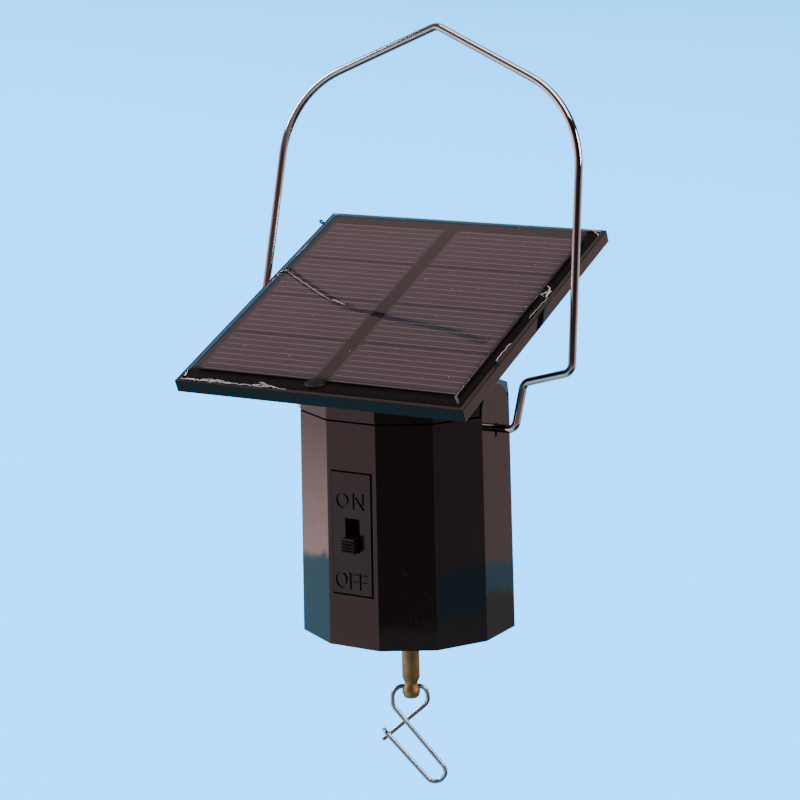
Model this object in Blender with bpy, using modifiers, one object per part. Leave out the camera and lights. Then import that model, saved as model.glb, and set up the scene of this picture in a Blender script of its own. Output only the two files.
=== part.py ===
"""Solar spinner motor: a hanging twelve-sided motor housing with a wire bail, a tilting solar tray
on top, and a geared output shaft with a snap hook below.

The part's origin is where a hanger bears, inside the peak of the bail. +Z is up along the housing's axis,
-Y is the switch side and +X is the side of the right-hand ear. The housing is modelled from its own foot
upwards and hangs from the origin through the empty called housing_frame.
"""
import math

import bmesh
import bpy
from mathutils import Matrix, Quaternion, Vector

MM = 0.001
GAP = 0.3 * MM
FULL_TURN = 2 * math.pi
# Stands a flat outline of (y, z) points up, with its thickness along X
ACROSS = (math.pi / 2, 0.0, math.pi / 2)

# Housing shell and lid
FACETS = 12
FOOT_RADIUS = 27.3 * MM
TAPER = 0.013
WALL = 2.0 * MM
FLOOR = 1.6 * MM
SEAM_Z = 56.0 * MM
LID_TOP_Z = 59.6 * MM
EAR_RADIUS = 6.9 * MM
EAR_CENTRE_Z = 56.2 * MM
EAR_INNER_X = 23.35 * MM

# Bail: corners of its outline as (x, height above the ears, corner radius)
BAIL_PIVOT = Vector((0.0, -0.1 * MM, 52.2 * MM))
BAIL_LEAN = math.radians(11.4)
BAIL_WIRE = 1.0 * MM
BAIL_PEAK = 97.35 * MM
BAIL_CORNERS = (
    (20.9 * MM, 0.0, 0.0),
    (31.1 * MM, 0.0, 2.2 * MM),
    (32.4 * MM, 11.6 * MM, 2.2 * MM),
    (45.1 * MM, 15.2 * MM, 2.6 * MM),
    (41.54 * MM, 79.25 * MM, 25.0 * MM),
)
BAIL_PEAK_RADIUS = 3.0 * MM

# Switch
SWITCH_PANEL_LOW = Vector((-5.8 * MM, 0.0, 13.0 * MM))
SWITCH_PANEL_HIGH = Vector((5.8 * MM, 0.0, 44.1 * MM))
SWITCH_PANEL_DEPTH = 0.9 * MM
PLATE_LOW_X = -5.75 * MM
PLATE_HIGH_X = 5.2 * MM
SLOT_HALF_WIDTH = 2.05 * MM
SLOT_LOW_Z = 23.9 * MM
SLOT_HIGH_Z = 32.4 * MM
KNOB_HALF_WIDTH = 1.75 * MM
KNOB_HALF_HEIGHT = 1.9 * MM
KNOB_Z = 26.0 * MM
KNOB_FRONT_Y = -28.8 * MM

# Solar tray and its tilt hinge
HINGE_Z = 70.4 * MM
PANEL_TILT = math.radians(23.05)
TRAY_HALF_X = 40.1 * MM
TRAY_HALF_Y = 39.85 * MM
TRAY_TOP = 12.16 * MM
TRAY_DEPTH = 3.24 * MM
TRAY_RIM = 1.3 * MM
HINGE_LUG_RADIUS = 5.0 * MM
HINGE_HOLE = 1.6 * MM
LUG_THICKNESS = 2.6 * MM
TRAY_LUG_X = 4.1 * MM
CELL_COLUMNS_X = ((-36.25 * MM, -3.1 * MM), (0.6 * MM, 36.25 * MM))
CELL_ROWS = 4
CELL_ROW_PITCH = 17.5 * MM
CELL_ROW_SPACE = 1.2 * MM
CELL_FIRST_Y = -34.9 * MM

# Gear train, three equal stages
MODULE = 0.39 * MM
WHEEL_TEETH = 36
PINION_TEETH = 9
CENTRES = MODULE * (WHEEL_TEETH + PINION_TEETH) / 2
LAYER_Z = (4.9 * MM, 7.4 * MM, 9.7 * MM)
LAYER_DEPTH = 1.9 * MM
ARBOR_RADIUS = 0.6 * MM
PLATE_Z = (3.0 * MM, 12.0 * MM)
PLATE_DEPTH = 1.2 * MM
PILLARS = ((-13.0 * MM, 4.0 * MM), (15.5 * MM, 5.0 * MM), (-11.5 * MM, -14.0 * MM))

# Motor and cell
MOTOR_RADIUS = 10.0 * MM
MOTOR_FLAT = 7.55 * MM
MOTOR_Z = 13.5 * MM
MOTOR_LENGTH = 24.0 * MM
CELL_RADIUS = 7.15 * MM
CELL_Y = 15.0 * MM

# Output shaft and hook
SHAFT_RADIUS = 2.25 * MM
HOOK_Z = -17.6 * MM
HOOK_WIRE = 0.5 * MM
HOOK_TURN = math.radians(31.1)

FINISHES = {
    "black_plastic": ((0.012, 0.010, 0.010), 0.12, 0.0),
    "white_plastic": ((0.72, 0.70, 0.66), 0.35, 0.0),
    "bright_wire": ((0.78, 0.76, 0.74), 0.12, 1.0),
    "zinc_steel": ((0.62, 0.62, 0.60), 0.30, 1.0),
    "brass": ((0.42, 0.31, 0.14), 0.32, 1.0),
    "cell_blue": ((0.030, 0.016, 0.022), 0.25, 0.0),
    "clear_epoxy": ((0.05, 0.04, 0.05), 0.05, 0.0),
    "board_green": ((0.02, 0.10, 0.04), 0.45, 0.0),
    "board_black": ((0.015, 0.012, 0.012), 0.45, 0.0),
    "wrap_green": ((0.03, 0.22, 0.08), 0.30, 0.0),
    "ferrite": ((0.05, 0.05, 0.05), 0.60, 0.0),
    "red_lead": ((0.45, 0.02, 0.02), 0.45, 0.0),
    "black_lead": ((0.02, 0.02, 0.02), 0.45, 0.0),
}


def start_collections():
    """Empty the scene and give the parts and the cutters a collection each."""
    for thing in list(bpy.data.objects):
        bpy.data.objects.remove(thing, do_unlink=True)
    made = []
    for name in ("solar_spinner_motor", "cutters"):
        collection = bpy.data.collections.new(name)
        bpy.context.scene.collection.children.link(collection)
        made.append(collection)
    return made


PARTS, CUTTERS = start_collections()


def empty(name, parent=None, at=(0.0, 0.0, 0.0), turn=(0.0, 0.0, 0.0)):
    """A named frame that pieces are placed in."""
    frame = bpy.data.objects.new(name, None)
    PARTS.objects.link(frame)
    frame.parent = parent
    frame.location = at
    frame.rotation_euler = turn
    return frame


def piece(name, shape, finish, parent, at=(0.0, 0.0, 0.0), turn=(0.0, 0.0, 0.0)):
    """One sub-part: its object, its place and its own material."""
    made = bpy.data.objects.new(name, shape)
    PARTS.objects.link(made)
    made.parent = parent
    made.location = at
    made.rotation_euler = turn
    colour, roughness, metallic = FINISHES[finish]
    surface = bpy.data.materials.new(name)
    surface.use_nodes = True
    shader = surface.node_tree.nodes["Principled BSDF"]
    shader.inputs["Base Color"].default_value = (*colour, 1.0)
    shader.inputs["Roughness"].default_value = roughness
    shader.inputs["Metallic"].default_value = metallic
    shape.materials.append(surface)
    return made


def tool(name, shape, parent, at=(0.0, 0.0, 0.0), turn=(0.0, 0.0, 0.0)):
    """A hidden solid that cuts or joins a piece."""
    made = bpy.data.objects.new(name, shape)
    CUTTERS.objects.link(made)
    made.parent = parent
    made.location = at
    made.rotation_euler = turn
    made.hide_render = True
    made.display_type = "WIRE"
    return made


def combine(target, other, operation):
    """Cut a tool out of a piece, or join it on."""
    step = target.modifiers.new(other.name, "BOOLEAN")
    step.object = other
    step.operation = operation
    step.solver = "EXACT"


def cut(target, *others):
    for other in others:
        combine(target, other, "DIFFERENCE")


def join(target, *others):
    for other in others:
        combine(target, other, "UNION")


def mesh_from(work, name):
    """Turn a bmesh into a mesh whose faces point outwards."""
    bmesh.ops.recalc_face_normals(work, faces=work.faces)
    made = bpy.data.meshes.new(name)
    work.to_mesh(made)
    work.free()
    return made


def block(name, low, high):
    """A box between two corners."""
    work = bmesh.new()
    bmesh.ops.create_cube(work, size=1.0)
    bmesh.ops.scale(work, vec=Vector(high) - Vector(low), verts=work.verts)
    bmesh.ops.translate(work, vec=(Vector(high) + Vector(low)) / 2, verts=work.verts)
    return mesh_from(work, name)


def rod(name, radius, low, high, sides=20, top_radius=None, twist=0.0):
    """A cylinder or a cone frustum standing on z = low."""
    work = bmesh.new()
    bmesh.ops.create_cone(
        work,
        cap_ends=True,
        segments=sides,
        radius1=radius,
        radius2=radius if top_radius is None else top_radius,
        depth=high - low,
    )
    bmesh.ops.rotate(work, matrix=Matrix.Rotation(twist, 3, "Z"), verts=work.verts)
    bmesh.ops.translate(work, vec=(0.0, 0.0, (low + high) / 2), verts=work.verts)
    return mesh_from(work, name)


def circle(radius, sides=20, centre=(0.0, 0.0)):
    """Points round a circle."""
    steps = [FULL_TURN * count / sides for count in range(sides)]
    return [(centre[0] + radius * math.cos(a), centre[1] + radius * math.sin(a)) for a in steps]


def arc(radius, start, end, steps, centre=(0.0, 0.0)):
    """Points along an arc, both ends included, angles in degrees."""
    angles = [math.radians(start + (end - start) * count / steps) for count in range(steps + 1)]
    return [(centre[0] + radius * math.cos(a), centre[1] + radius * math.sin(a)) for a in angles]


def slab(name, outlines, low, high):
    """A flat outline with thickness; every outline after the first is a hole."""
    flat = bpy.data.curves.new(name, "CURVE")
    flat.dimensions = "2D"
    flat.fill_mode = "BOTH"
    flat.extrude = (high - low) / 2
    for outline in outlines:
        spline = flat.splines.new("POLY")
        spline.points.add(len(outline) - 1)
        for point, (x, y) in zip(spline.points, outline):
            point.co = (x, y, 0.0, 1.0)
        spline.use_cyclic_u = True
    holder = bpy.data.objects.new(name, flat)
    CUTTERS.objects.link(holder)
    evaluated = holder.evaluated_get(bpy.context.evaluated_depsgraph_get())
    work = bmesh.new()
    work.from_mesh(bpy.data.meshes.new_from_object(evaluated))
    bpy.data.objects.remove(holder, do_unlink=True)
    bmesh.ops.remove_doubles(work, verts=work.verts, dist=0.001 * MM)
    bmesh.ops.translate(work, vec=(0.0, 0.0, (low + high) / 2), verts=work.verts)
    return mesh_from(work, name)


def turned(made, steps=24):
    """Spin a profile mesh round its own Z axis."""
    spin = made.modifiers.new("turn", "SCREW")
    spin.steps = steps
    spin.render_steps = steps
    spin.use_merge_vertices = True
    spin.merge_threshold = 0.005 * MM
    made.data.shade_smooth()
    return made


def profile(name, points):
    """An open outline of (radius, z) points, listed from the top down."""
    work = bmesh.new()
    corners = [work.verts.new((radius, 0.0, z)) for radius, z in points]
    for first, second in zip(corners, corners[1:]):
        work.edges.new((first, second))
    made = bpy.data.meshes.new(name)
    work.to_mesh(made)
    work.free()
    return made


def rounded_path(corners, step=math.radians(18)):
    """Points along straight runs joined by arcs; corners are (point, radius) pairs."""
    path = [corners[0][0]]
    for (before, _), (corner, radius), (after, _) in zip(corners, corners[1:], corners[2:]):
        back = (before - corner).normalized()
        ahead = (after - corner).normalized()
        half = back.angle(ahead) / 2
        centre = corner + (back + ahead).normalized() * radius / math.sin(half)
        spoke = corner + back * radius / math.tan(half) - centre
        turn = math.pi - 2 * half
        axis = ahead.cross(back)
        count = max(2, math.ceil(turn / step))
        path.extend(centre + Quaternion(axis, turn * part / count) @ spoke for part in range(count + 1))
    path.append(corners[-1][0])
    return path


def wire(name, path, radius, resolution=2):
    """A round wire along a list of points, with closed ends."""
    line = bpy.data.curves.new(name, "CURVE")
    line.dimensions = "3D"
    line.bevel_depth = radius
    line.bevel_resolution = resolution
    line.use_fill_caps = True
    spline = line.splines.new("POLY")
    spline.points.add(len(path) - 1)
    for point, place in zip(spline.points, path):
        point.co = (*place, 1.0)
    return line


def shell_radius(z, inset=0.0):
    """Corner radius of the housing at a height, moved in from the facets."""
    return FOOT_RADIUS - TAPER * z - inset / math.cos(math.pi / FACETS)


def facet_y(z):
    """How far the front facet stands from the axis at a height."""
    return shell_radius(z) * math.cos(math.pi / FACETS)


def frustum(name, low, high, inset=0.0):
    """A twelve-sided length of the housing, its facets square to X and Y."""
    return rod(
        name,
        shell_radius(low, inset),
        low,
        high,
        sides=FACETS,
        top_radius=shell_radius(high, inset),
        twist=math.pi / FACETS,
    )


def lid_post_places():
    """Two opposite corners of the housing, where the lid screws go."""
    reach = 22.1 * MM
    return [(reach * math.cos(a), reach * math.sin(a)) for a in (math.radians(135), math.radians(-45))]


def gear_places():
    """Axes of the output gear, the two compound gears and the motor pinion."""
    places = [Vector((0.0, 0.0))]
    for heading in (210, 330, 30):
        step = Vector((math.cos(math.radians(heading)), math.sin(math.radians(heading)))) * CENTRES
        places.append(places[-1] + step)
    return places


def make_bail(root):
    """One bent wire: a peak, two shoulders, two long legs and two cranked feet."""
    pivot = empty("bail_pivot", root, BAIL_PIVOT, (-BAIL_LEAN, 0.0, 0.0))
    right = [(Vector((x, 0.0, height)), radius) for x, height, radius in BAIL_CORNERS]
    left = [(Vector((-point.x, 0.0, point.z)), radius) for point, radius in reversed(right)]
    peak = [(Vector((0.0, 0.0, BAIL_PEAK)), BAIL_PEAK_RADIUS)]
    path = rounded_path(right + peak + left, math.radians(12))
    piece("bail_wire", wire("bail_wire", path, BAIL_WIRE), "bright_wire", pivot)


def add_post(shell, root, name, place, low, high, hole_low):
    """A screw post moulded into the shell, with its blind hole."""
    join(shell, tool(name, rod(name, 2.6 * MM, low, high), root, (*place, 0.0)))
    hole = rod("hole", 1.25 * MM, hole_low, high + MM, 12)
    cut(shell, tool(f"{name}_hole", hole, root, (*place, 0.0)))


def make_housing_shell(root):
    """A moulded cup with two ears, a sunk switch panel, a slot, posts and bosses."""
    top = EAR_CENTRE_Z + EAR_RADIUS
    shell = piece("housing_shell", frustum("housing_shell", 0.0, top + GAP), "black_plastic", root)
    above = top + 5 * MM
    cavity = tool("cavity", frustum("cavity", FLOOR, above, WALL), root)
    for side in (-1, 1):
        inner = side * EAR_INNER_X
        outer = side * 30 * MM
        low = (min(inner, outer), -8.2 * MM, 46 * MM)
        high = (max(inner, outer), 8.2 * MM, above + MM)
        cut(cavity, tool(f"ear_pad_{side}", block("ear_pad", low, high), root))
    cut(shell, cavity)
    trim = tool("trim", block("trim", (-40 * MM, -40 * MM, SEAM_Z), (40 * MM, 40 * MM, above)), root)
    ear_bar = rod("ear_bar", EAR_RADIUS, -45 * MM, 45 * MM, sides=40)
    ear_place = (0.0, BAIL_PIVOT.y, EAR_CENTRE_Z)
    cut(trim, tool("ear_bar", ear_bar, root, ear_place, (0.0, math.pi / 2, 0.0)))
    cut(shell, trim)
    for count, place in enumerate(lid_post_places()):
        add_post(shell, root, f"lid_post_{count}", place, 42 * MM, SEAM_Z - GAP, 46 * MM)
    for count, place in enumerate(PILLARS):
        add_post(shell, root, f"floor_boss_{count}", place, FLOOR / 2, PLATE_Z[0] - GAP, 0.9 * MM)
    cut(shell, tool("shaft_hole", rod("shaft_hole", 3.9 * MM, -MM, 3 * MM), root))
    ear_hole = rod("ear_hole", BAIL_WIRE + 0.2 * MM, -45 * MM, 45 * MM, 16)
    cut(shell, tool("ear_hole", ear_hole, root, BAIL_PIVOT, (0.0, math.pi / 2, 0.0)))
    slit_low = (-45 * MM, BAIL_PIVOT.y - 0.45 * MM, 49.9 * MM)
    slit_high = (45 * MM, BAIL_PIVOT.y + 0.45 * MM, BAIL_PIVOT.z)
    cut(shell, tool("ear_slit", block("ear_slit", slit_low, slit_high), root))
    recess = switch_block("switch_recess", SWITCH_PANEL_LOW.x, SWITCH_PANEL_HIGH.x, 0.0, -3 * MM, SWITCH_PANEL_DEPTH)
    cut(shell, tool("switch_recess", recess, root))
    cut(shell, tool("shell_slot", slot_block(), root))


def switch_block(name, left, right, inset, front, back):
    """A block lying along the switch facet, from front to back of its surface."""
    middle_z = (SWITCH_PANEL_LOW.z + SWITCH_PANEL_HIGH.z) / 2
    half_z = (SWITCH_PANEL_HIGH.z - SWITCH_PANEL_LOW.z) / 2 - inset
    shape = block(name, (left, front, -half_z), (right, back, half_z))
    facet_lean = math.atan(TAPER * math.cos(math.pi / FACETS))
    place = Matrix.Translation((0.0, -facet_y(middle_z), middle_z))
    shape.transform(place @ Matrix.Rotation(-facet_lean, 4, "X"))
    return shape


def slot_block():
    """The opening that the knob slides in."""
    return block("slot", (-SLOT_HALF_WIDTH, -30 * MM, SLOT_LOW_Z), (SLOT_HALF_WIDTH, -20 * MM, SLOT_HIGH_Z))


def lug(name, foot, thickness):
    """A hinge lug: a plate with a round end about the hinge axis and its foot above or below it."""
    side = 1 if foot > 0 else -1
    outline = arc(HINGE_LUG_RADIUS, 90 + 90 * side, 270 + 90 * side, 12)
    outline.extend([(side * HINGE_LUG_RADIUS, foot), (-side * HINGE_LUG_RADIUS, foot)])
    return slab(name, [outline, circle(HINGE_HOLE, 16)], 0.0, thickness)


def make_lid(root, hinge):
    """The cap, its two hinge lugs, the lead hole and the two screws that hold it."""
    base = SEAM_Z + GAP
    lid = piece("top_lid", frustum("top_lid", base, LID_TOP_Z), "black_plastic", root)
    for side in (-1, 1):
        inner = side * (EAR_INNER_X - GAP)
        outer = side * 30 * MM
        low = (min(inner, outer), -7.3 * MM, 50 * MM)
        high = (max(inner, outer), 7.1 * MM, 62 * MM)
        cut(lid, tool(f"ear_notch_{side}", block("ear_notch", low, high), root))
        inside = TRAY_LUG_X + LUG_THICKNESS + GAP
        start = inside if side > 0 else -inside - LUG_THICKNESS
        shape = lug("lid_lug", LID_TOP_Z - HINGE_Z - 0.5 * MM, LUG_THICKNESS)
        join(lid, tool(f"lid_lug_{side}", shape, hinge, (start, 0.0, 0.0), ACROSS))
    cut(lid, tool("lead_hole", rod("lead_hole", 1.6 * MM, 50 * MM, 62 * MM, 16), root, (0.0, 9 * MM, 0.0)))
    for count, place in enumerate(lid_post_places()):
        hole = rod("lid_hole", 1.4 * MM, 50 * MM, 62 * MM, 12)
        cut(lid, tool(f"lid_hole_{count}", hole, root, (*place, 0.0)))
        screw_shape = profile("lid_screw", [(0, 1.7), (1.6, 1.6), (2.3, 0.9), (2.3, 0.3), (1.0, 0.3),
                                            (1.0, -9.0), (0, -10.0)])
        screw_shape.transform(Matrix.Scale(MM, 4))
        turned(piece(f"lid_screw_{count + 1}", screw_shape, "zinc_steel", root, (*place, LID_TOP_Z)), 16)


def make_tilt_hinge(hinge):
    """The screw through the lugs and its nut."""
    end = TRAY_LUG_X + 2 * LUG_THICKNESS + 2 * GAP
    shank = 1.4 * MM
    head = end + 2.0 * MM
    nut_end = -end - 2.4 * MM
    points = [(0, head), (2.2 * MM, head), (2.75 * MM, head - 0.6 * MM), (2.75 * MM, end), (shank, end),
              (shank, nut_end - 0.8 * MM), (0, nut_end - 0.8 * MM)]
    across = (0.0, math.pi / 2, 0.0)
    turned(piece("hinge_screw", profile("hinge_screw", points), "zinc_steel", hinge, turn=across), 20)
    nut = slab("hinge_nut", [circle(3.1 * MM, 6), circle(HINGE_HOLE, 16)], nut_end, -end)
    piece("hinge_nut", nut, "zinc_steel", hinge, turn=across)


def make_panel(hinge):
    """Tray, board, cells and the clear epoxy over them, all turning about the hinge."""
    panel = empty("panel_frame", hinge, turn=(PANEL_TILT, 0.0, 0.0))
    under = TRAY_TOP - TRAY_DEPTH
    tray_shape = block("solar_tray", (-TRAY_HALF_X, -TRAY_HALF_Y, under), (TRAY_HALF_X, TRAY_HALF_Y, TRAY_TOP))
    tray = piece("solar_tray", tray_shape, "black_plastic", panel)
    inside_x = TRAY_HALF_X - TRAY_RIM
    inside_y = TRAY_HALF_Y - TRAY_RIM
    pocket_z = TRAY_TOP - 1.3 * MM
    pocket = block("pocket", (-inside_x, -inside_y, pocket_z), (inside_x, inside_y, TRAY_TOP + MM))
    cut(tray, tool("tray_pocket", pocket, panel))
    for side in (-1, 1):
        start = TRAY_LUG_X if side > 0 else -TRAY_LUG_X - LUG_THICKNESS
        shape = lug("tray_lug", under + 0.5 * MM, LUG_THICKNESS)
        join(tray, tool(f"tray_lug_{side}", shape, panel, (start, 0.0, 0.0), ACROSS))
    board_top = pocket_z + GAP + 0.8 * MM
    board_x = inside_x - GAP
    board_y = inside_y - GAP
    board = block("solar_board", (-board_x, -board_y, pocket_z + GAP), (board_x, board_y, board_top))
    piece("solar_board", board, "board_black", panel)
    cell_low = board_top + GAP
    cell_high = cell_low + 0.25 * MM
    for row in range(CELL_ROWS):
        front = CELL_FIRST_Y + row * CELL_ROW_PITCH + CELL_ROW_SPACE / 2
        for column, (left, right) in enumerate(CELL_COLUMNS_X):
            back = front + CELL_ROW_PITCH - CELL_ROW_SPACE
            cell = block("cell", (left, front, cell_low), (right, back, cell_high))
            name = f"solar_cell_{row * len(CELL_COLUMNS_X) + column + 1}"
            piece(name, cell, "cell_blue", panel)
    lens_low = cell_high + GAP
    lens = rod("panel_epoxy", board_x * math.sqrt(2), lens_low, lens_low + 1.4 * MM, 4,
               (board_x - 1.6 * MM) * math.sqrt(2), math.pi / 4)
    lens.transform(Matrix.Diagonal((1.0, board_y / board_x, 1.0, 1.0)))
    piece("panel_epoxy", lens, "clear_epoxy", panel)


def make_switch(root):
    """The plate round the slot, the slide switch behind it, and its ridged knob at OFF."""
    plate_shape = switch_block("switch_plate", PLATE_LOW_X, PLATE_HIGH_X, GAP, 0.05 * MM, 0.55 * MM)
    plate = piece("switch_plate", plate_shape, "black_plastic", root)
    cut(plate, tool("plate_slot", slot_block(), root))
    front = -23.6 * MM
    low = (-3.7 * MM, front, 18.6 * MM)
    high = (3.7 * MM, front + 5 * MM, 37.6 * MM)
    body = piece("switch_body", block("switch_body", low, high), "zinc_steel", root)
    well_low = (-SLOT_HALF_WIDTH - GAP, front - MM, SLOT_LOW_Z - 1.5 * MM)
    well_high = (SLOT_HALF_WIDTH + GAP, front + 3 * MM, SLOT_HIGH_Z + 1.5 * MM)
    cut(body, tool("switch_well", block("switch_well", well_low, well_high), root))
    for count, z in enumerate((23.4 * MM, 28.1 * MM, 32.8 * MM)):
        pin = block("pin", (-0.8 * MM, high[1] - MM, z - 0.25 * MM), (0.8 * MM, high[1] + 2.6 * MM, z + 0.25 * MM))
        join(body, tool(f"switch_pin_{count}", pin, root))
    ridges = 4
    pitch = 2 * (KNOB_HALF_HEIGHT - 0.3 * MM) / ridges
    valley = KNOB_FRONT_Y + 0.5 * MM
    outline = [(-21.0 * MM, -KNOB_HALF_HEIGHT), (valley, -KNOB_HALF_HEIGHT)]
    for count in range(ridges):
        foot = -KNOB_HALF_HEIGHT + 0.3 * MM + count * pitch
        outline.extend([(valley, foot + 0.15 * pitch), (KNOB_FRONT_Y, foot + 0.5 * pitch),
                        (valley, foot + 0.85 * pitch)])
    outline.extend([(valley, KNOB_HALF_HEIGHT), (-21.0 * MM, KNOB_HALF_HEIGHT)])
    knob = slab("switch_knob", [outline], -KNOB_HALF_WIDTH, KNOB_HALF_WIDTH)
    piece("switch_knob", knob, "black_plastic", root, (0.0, 0.0, KNOB_Z), ACROSS)


def gear_outline(teeth):
    """Plain trapezoid teeth, slim enough to run free."""
    pitch_radius = MODULE * teeth / 2
    root_radius = pitch_radius - 1.25 * MODULE
    tip_radius = pitch_radius + 0.8 * MODULE
    pitch = FULL_TURN / teeth
    outline = []
    for tooth in range(teeth):
        middle = tooth * pitch
        for radius, share in ((root_radius, -0.32), (tip_radius, -0.12), (tip_radius, 0.12), (root_radius, 0.32)):
            angle = middle + share * pitch
            outline.append((radius * math.cos(angle), radius * math.sin(angle)))
    return outline


def gear(name, teeth, layer, bore, parent, finish="white_plastic"):
    """One toothed wheel in a layer of the train."""
    low = LAYER_Z[layer]
    shape = slab(name, [gear_outline(teeth), circle(bore, 16)], low, low + LAYER_DEPTH)
    return piece(name, shape, finish, parent)


def make_gearbox(root):
    """Plates, pillars, screws and arbors, the two compound gears and the output gear."""
    output, second, first, motor = gear_places()
    edge = [
        (-16.6 * MM, 7.4 * MM),
        (-16.6 * MM, -15.5 * MM),
        (-14.5 * MM, -17.0 * MM),
        (11.0 * MM, -17.0 * MM),
        (18.2 * MM, -9.0 * MM),
        (18.2 * MM, 7.4 * MM),
    ]
    holes = [circle(1.3 * MM, 12, place) for place in PILLARS]
    arbors = [circle(ARBOR_RADIUS + 0.05 * MM, 12, place) for place in (second, first)]
    for name, low, own in (
        ("gearbox_bottom_plate", PLATE_Z[0], circle(SHAFT_RADIUS + 0.3 * MM, 24, output)),
        ("gearbox_top_plate", PLATE_Z[1], circle(3.2 * MM, 24, motor)),
    ):
        shape = slab(name, [edge, own, *holes, *arbors], low, low + PLATE_DEPTH)
        piece(name, shape, "zinc_steel", root)
    for count, place in enumerate(PILLARS):
        tube = slab("pillar", [circle(2.2 * MM, 16), circle(1.3 * MM, 12)],
                    PLATE_Z[0] + PLATE_DEPTH + GAP / 2, PLATE_Z[1] - GAP / 2)
        piece(f"gearbox_pillar_{count + 1}", tube, "zinc_steel", root, (*place, 0.0))
        seat = PLATE_Z[1] + PLATE_DEPTH + GAP
        outline = [(0, seat + 1.3 * MM), (1.6 * MM, seat + 1.2 * MM), (1.9 * MM, seat + 0.8 * MM),
                   (1.9 * MM, seat), (MM, seat), (MM, 1.2 * MM), (0, 1.1 * MM)]
        screw = piece(f"gearbox_screw_{count + 1}", profile("screw", outline), "zinc_steel", root, (*place, 0.0))
        turned(screw, 14)
    compound = (("compound_gear_2", second, 1, 0, 210), ("compound_gear_1", first, 2, 1, 330))
    for count, (name, place, wheel_layer, pinion_layer, heading) in enumerate(compound):
        arbor = rod("arbor", ARBOR_RADIUS, PLATE_Z[0], PLATE_Z[1] + PLATE_DEPTH, 12)
        piece(f"gear_arbor_{2 - count}", arbor, "zinc_steel", root, (*place, 0.0))
        hub = empty(f"{name}_axis", root, (*place, 0.0), (0.0, 0.0, mesh_turn(heading)))
        wheel = gear(name, WHEEL_TEETH, wheel_layer, ARBOR_RADIUS + 0.1 * MM, hub)
        shape = slab("pinion", [gear_outline(PINION_TEETH), circle(ARBOR_RADIUS + 0.1 * MM, 16)],
                     LAYER_Z[pinion_layer], LAYER_Z[wheel_layer] + MODULE)
        join(wheel, tool(f"{name}_pinion", shape, hub))


def mesh_turn(heading):
    """Turn that puts a pinion's gap, and its wheel's tooth, where the gear before it meets it."""
    return math.radians(heading + 180) + math.pi / PINION_TEETH


def make_motor(root):
    """Can, end cap, magnets and terminals, and the turning armature, shaft and pinion."""
    axis = (*gear_places()[3], 0.0)
    top = MOTOR_Z + MOTOR_LENGTH

    def outline(radius, flat):
        edge = math.degrees(math.asin(flat / radius))
        return arc(radius, -edge, edge, 8) + arc(radius, 180 - edge, 180 + edge, 8)

    can = piece("motor_can", slab("motor_can", [outline(MOTOR_RADIUS, MOTOR_FLAT)], MOTOR_Z, top),
                "zinc_steel", root, axis)
    wall = 0.8 * MM
    inner = outline(MOTOR_RADIUS - wall, MOTOR_FLAT - wall)
    join(can, tool("motor_boss", rod("motor_boss", 3.0 * MM, PLATE_Z[1] + 0.2 * MM, MOTOR_Z + GAP), root, axis))
    cut(can, tool("motor_hollow", slab("motor_hollow", [inner], MOTOR_Z + wall, top + MM), root, axis))
    cut(can, tool("motor_bore", rod("motor_bore", 1.15 * MM, PLATE_Z[1] - MM, MOTOR_Z + 2 * MM, 16), root, axis))
    cap = piece("motor_end_cap", slab("motor_end_cap", [outline(MOTOR_RADIUS, MOTOR_FLAT)], top + GAP,
                                      top + 2.4 * MM), "white_plastic", root, axis)
    cut(cap, tool("cap_bore", rod("cap_bore", 1.15 * MM, top, top + 1.6 * MM, 16), root, axis))
    for side, name in ((-1, "left"), (1, "right")):
        middle = 90 - 90 * side
        sector = arc(8.9 * MM, middle - 38, middle + 38, 8) + arc(7.1 * MM, middle + 38, middle - 38, 8)
        magnet = slab("magnet", [sector], MOTOR_Z + 3 * MM, top - 3 * MM)
        piece(f"motor_magnet_{name}", magnet, "ferrite", root, axis)
        tab = block("tab", (side * 6 * MM - 0.25 * MM, -MM, top + 2.4 * MM + GAP),
                    (side * 6 * MM + 0.25 * MM, MM, top + 5 * MM))
        piece(f"motor_terminal_{name}", tab, "brass", root, axis)
    rotor = empty("rotor_axis", root, axis, (0.0, 0.0, mesh_turn(30)))
    shaft = rod("motor_shaft", MM, LAYER_Z[2] - 0.4 * MM, top + 1.2 * MM, 16)
    piece("motor_shaft", shaft, "zinc_steel", rotor)
    gear("motor_pinion", PINION_TEETH, 2, 1.05 * MM, rotor, "brass")
    poles = []
    for pole in range(3):
        poles.extend(arc(6.4 * MM, pole * 120 - 46, pole * 120 + 46, 8))
        poles.append((2.6 * MM * math.cos(math.radians(pole * 120 + 60)),
                      2.6 * MM * math.sin(math.radians(pole * 120 + 60))))
    core = slab("motor_armature", [poles, circle(1.1 * MM, 16)], MOTOR_Z + 4 * MM, top - 4 * MM)
    piece("motor_armature", core, "zinc_steel", rotor)


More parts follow.
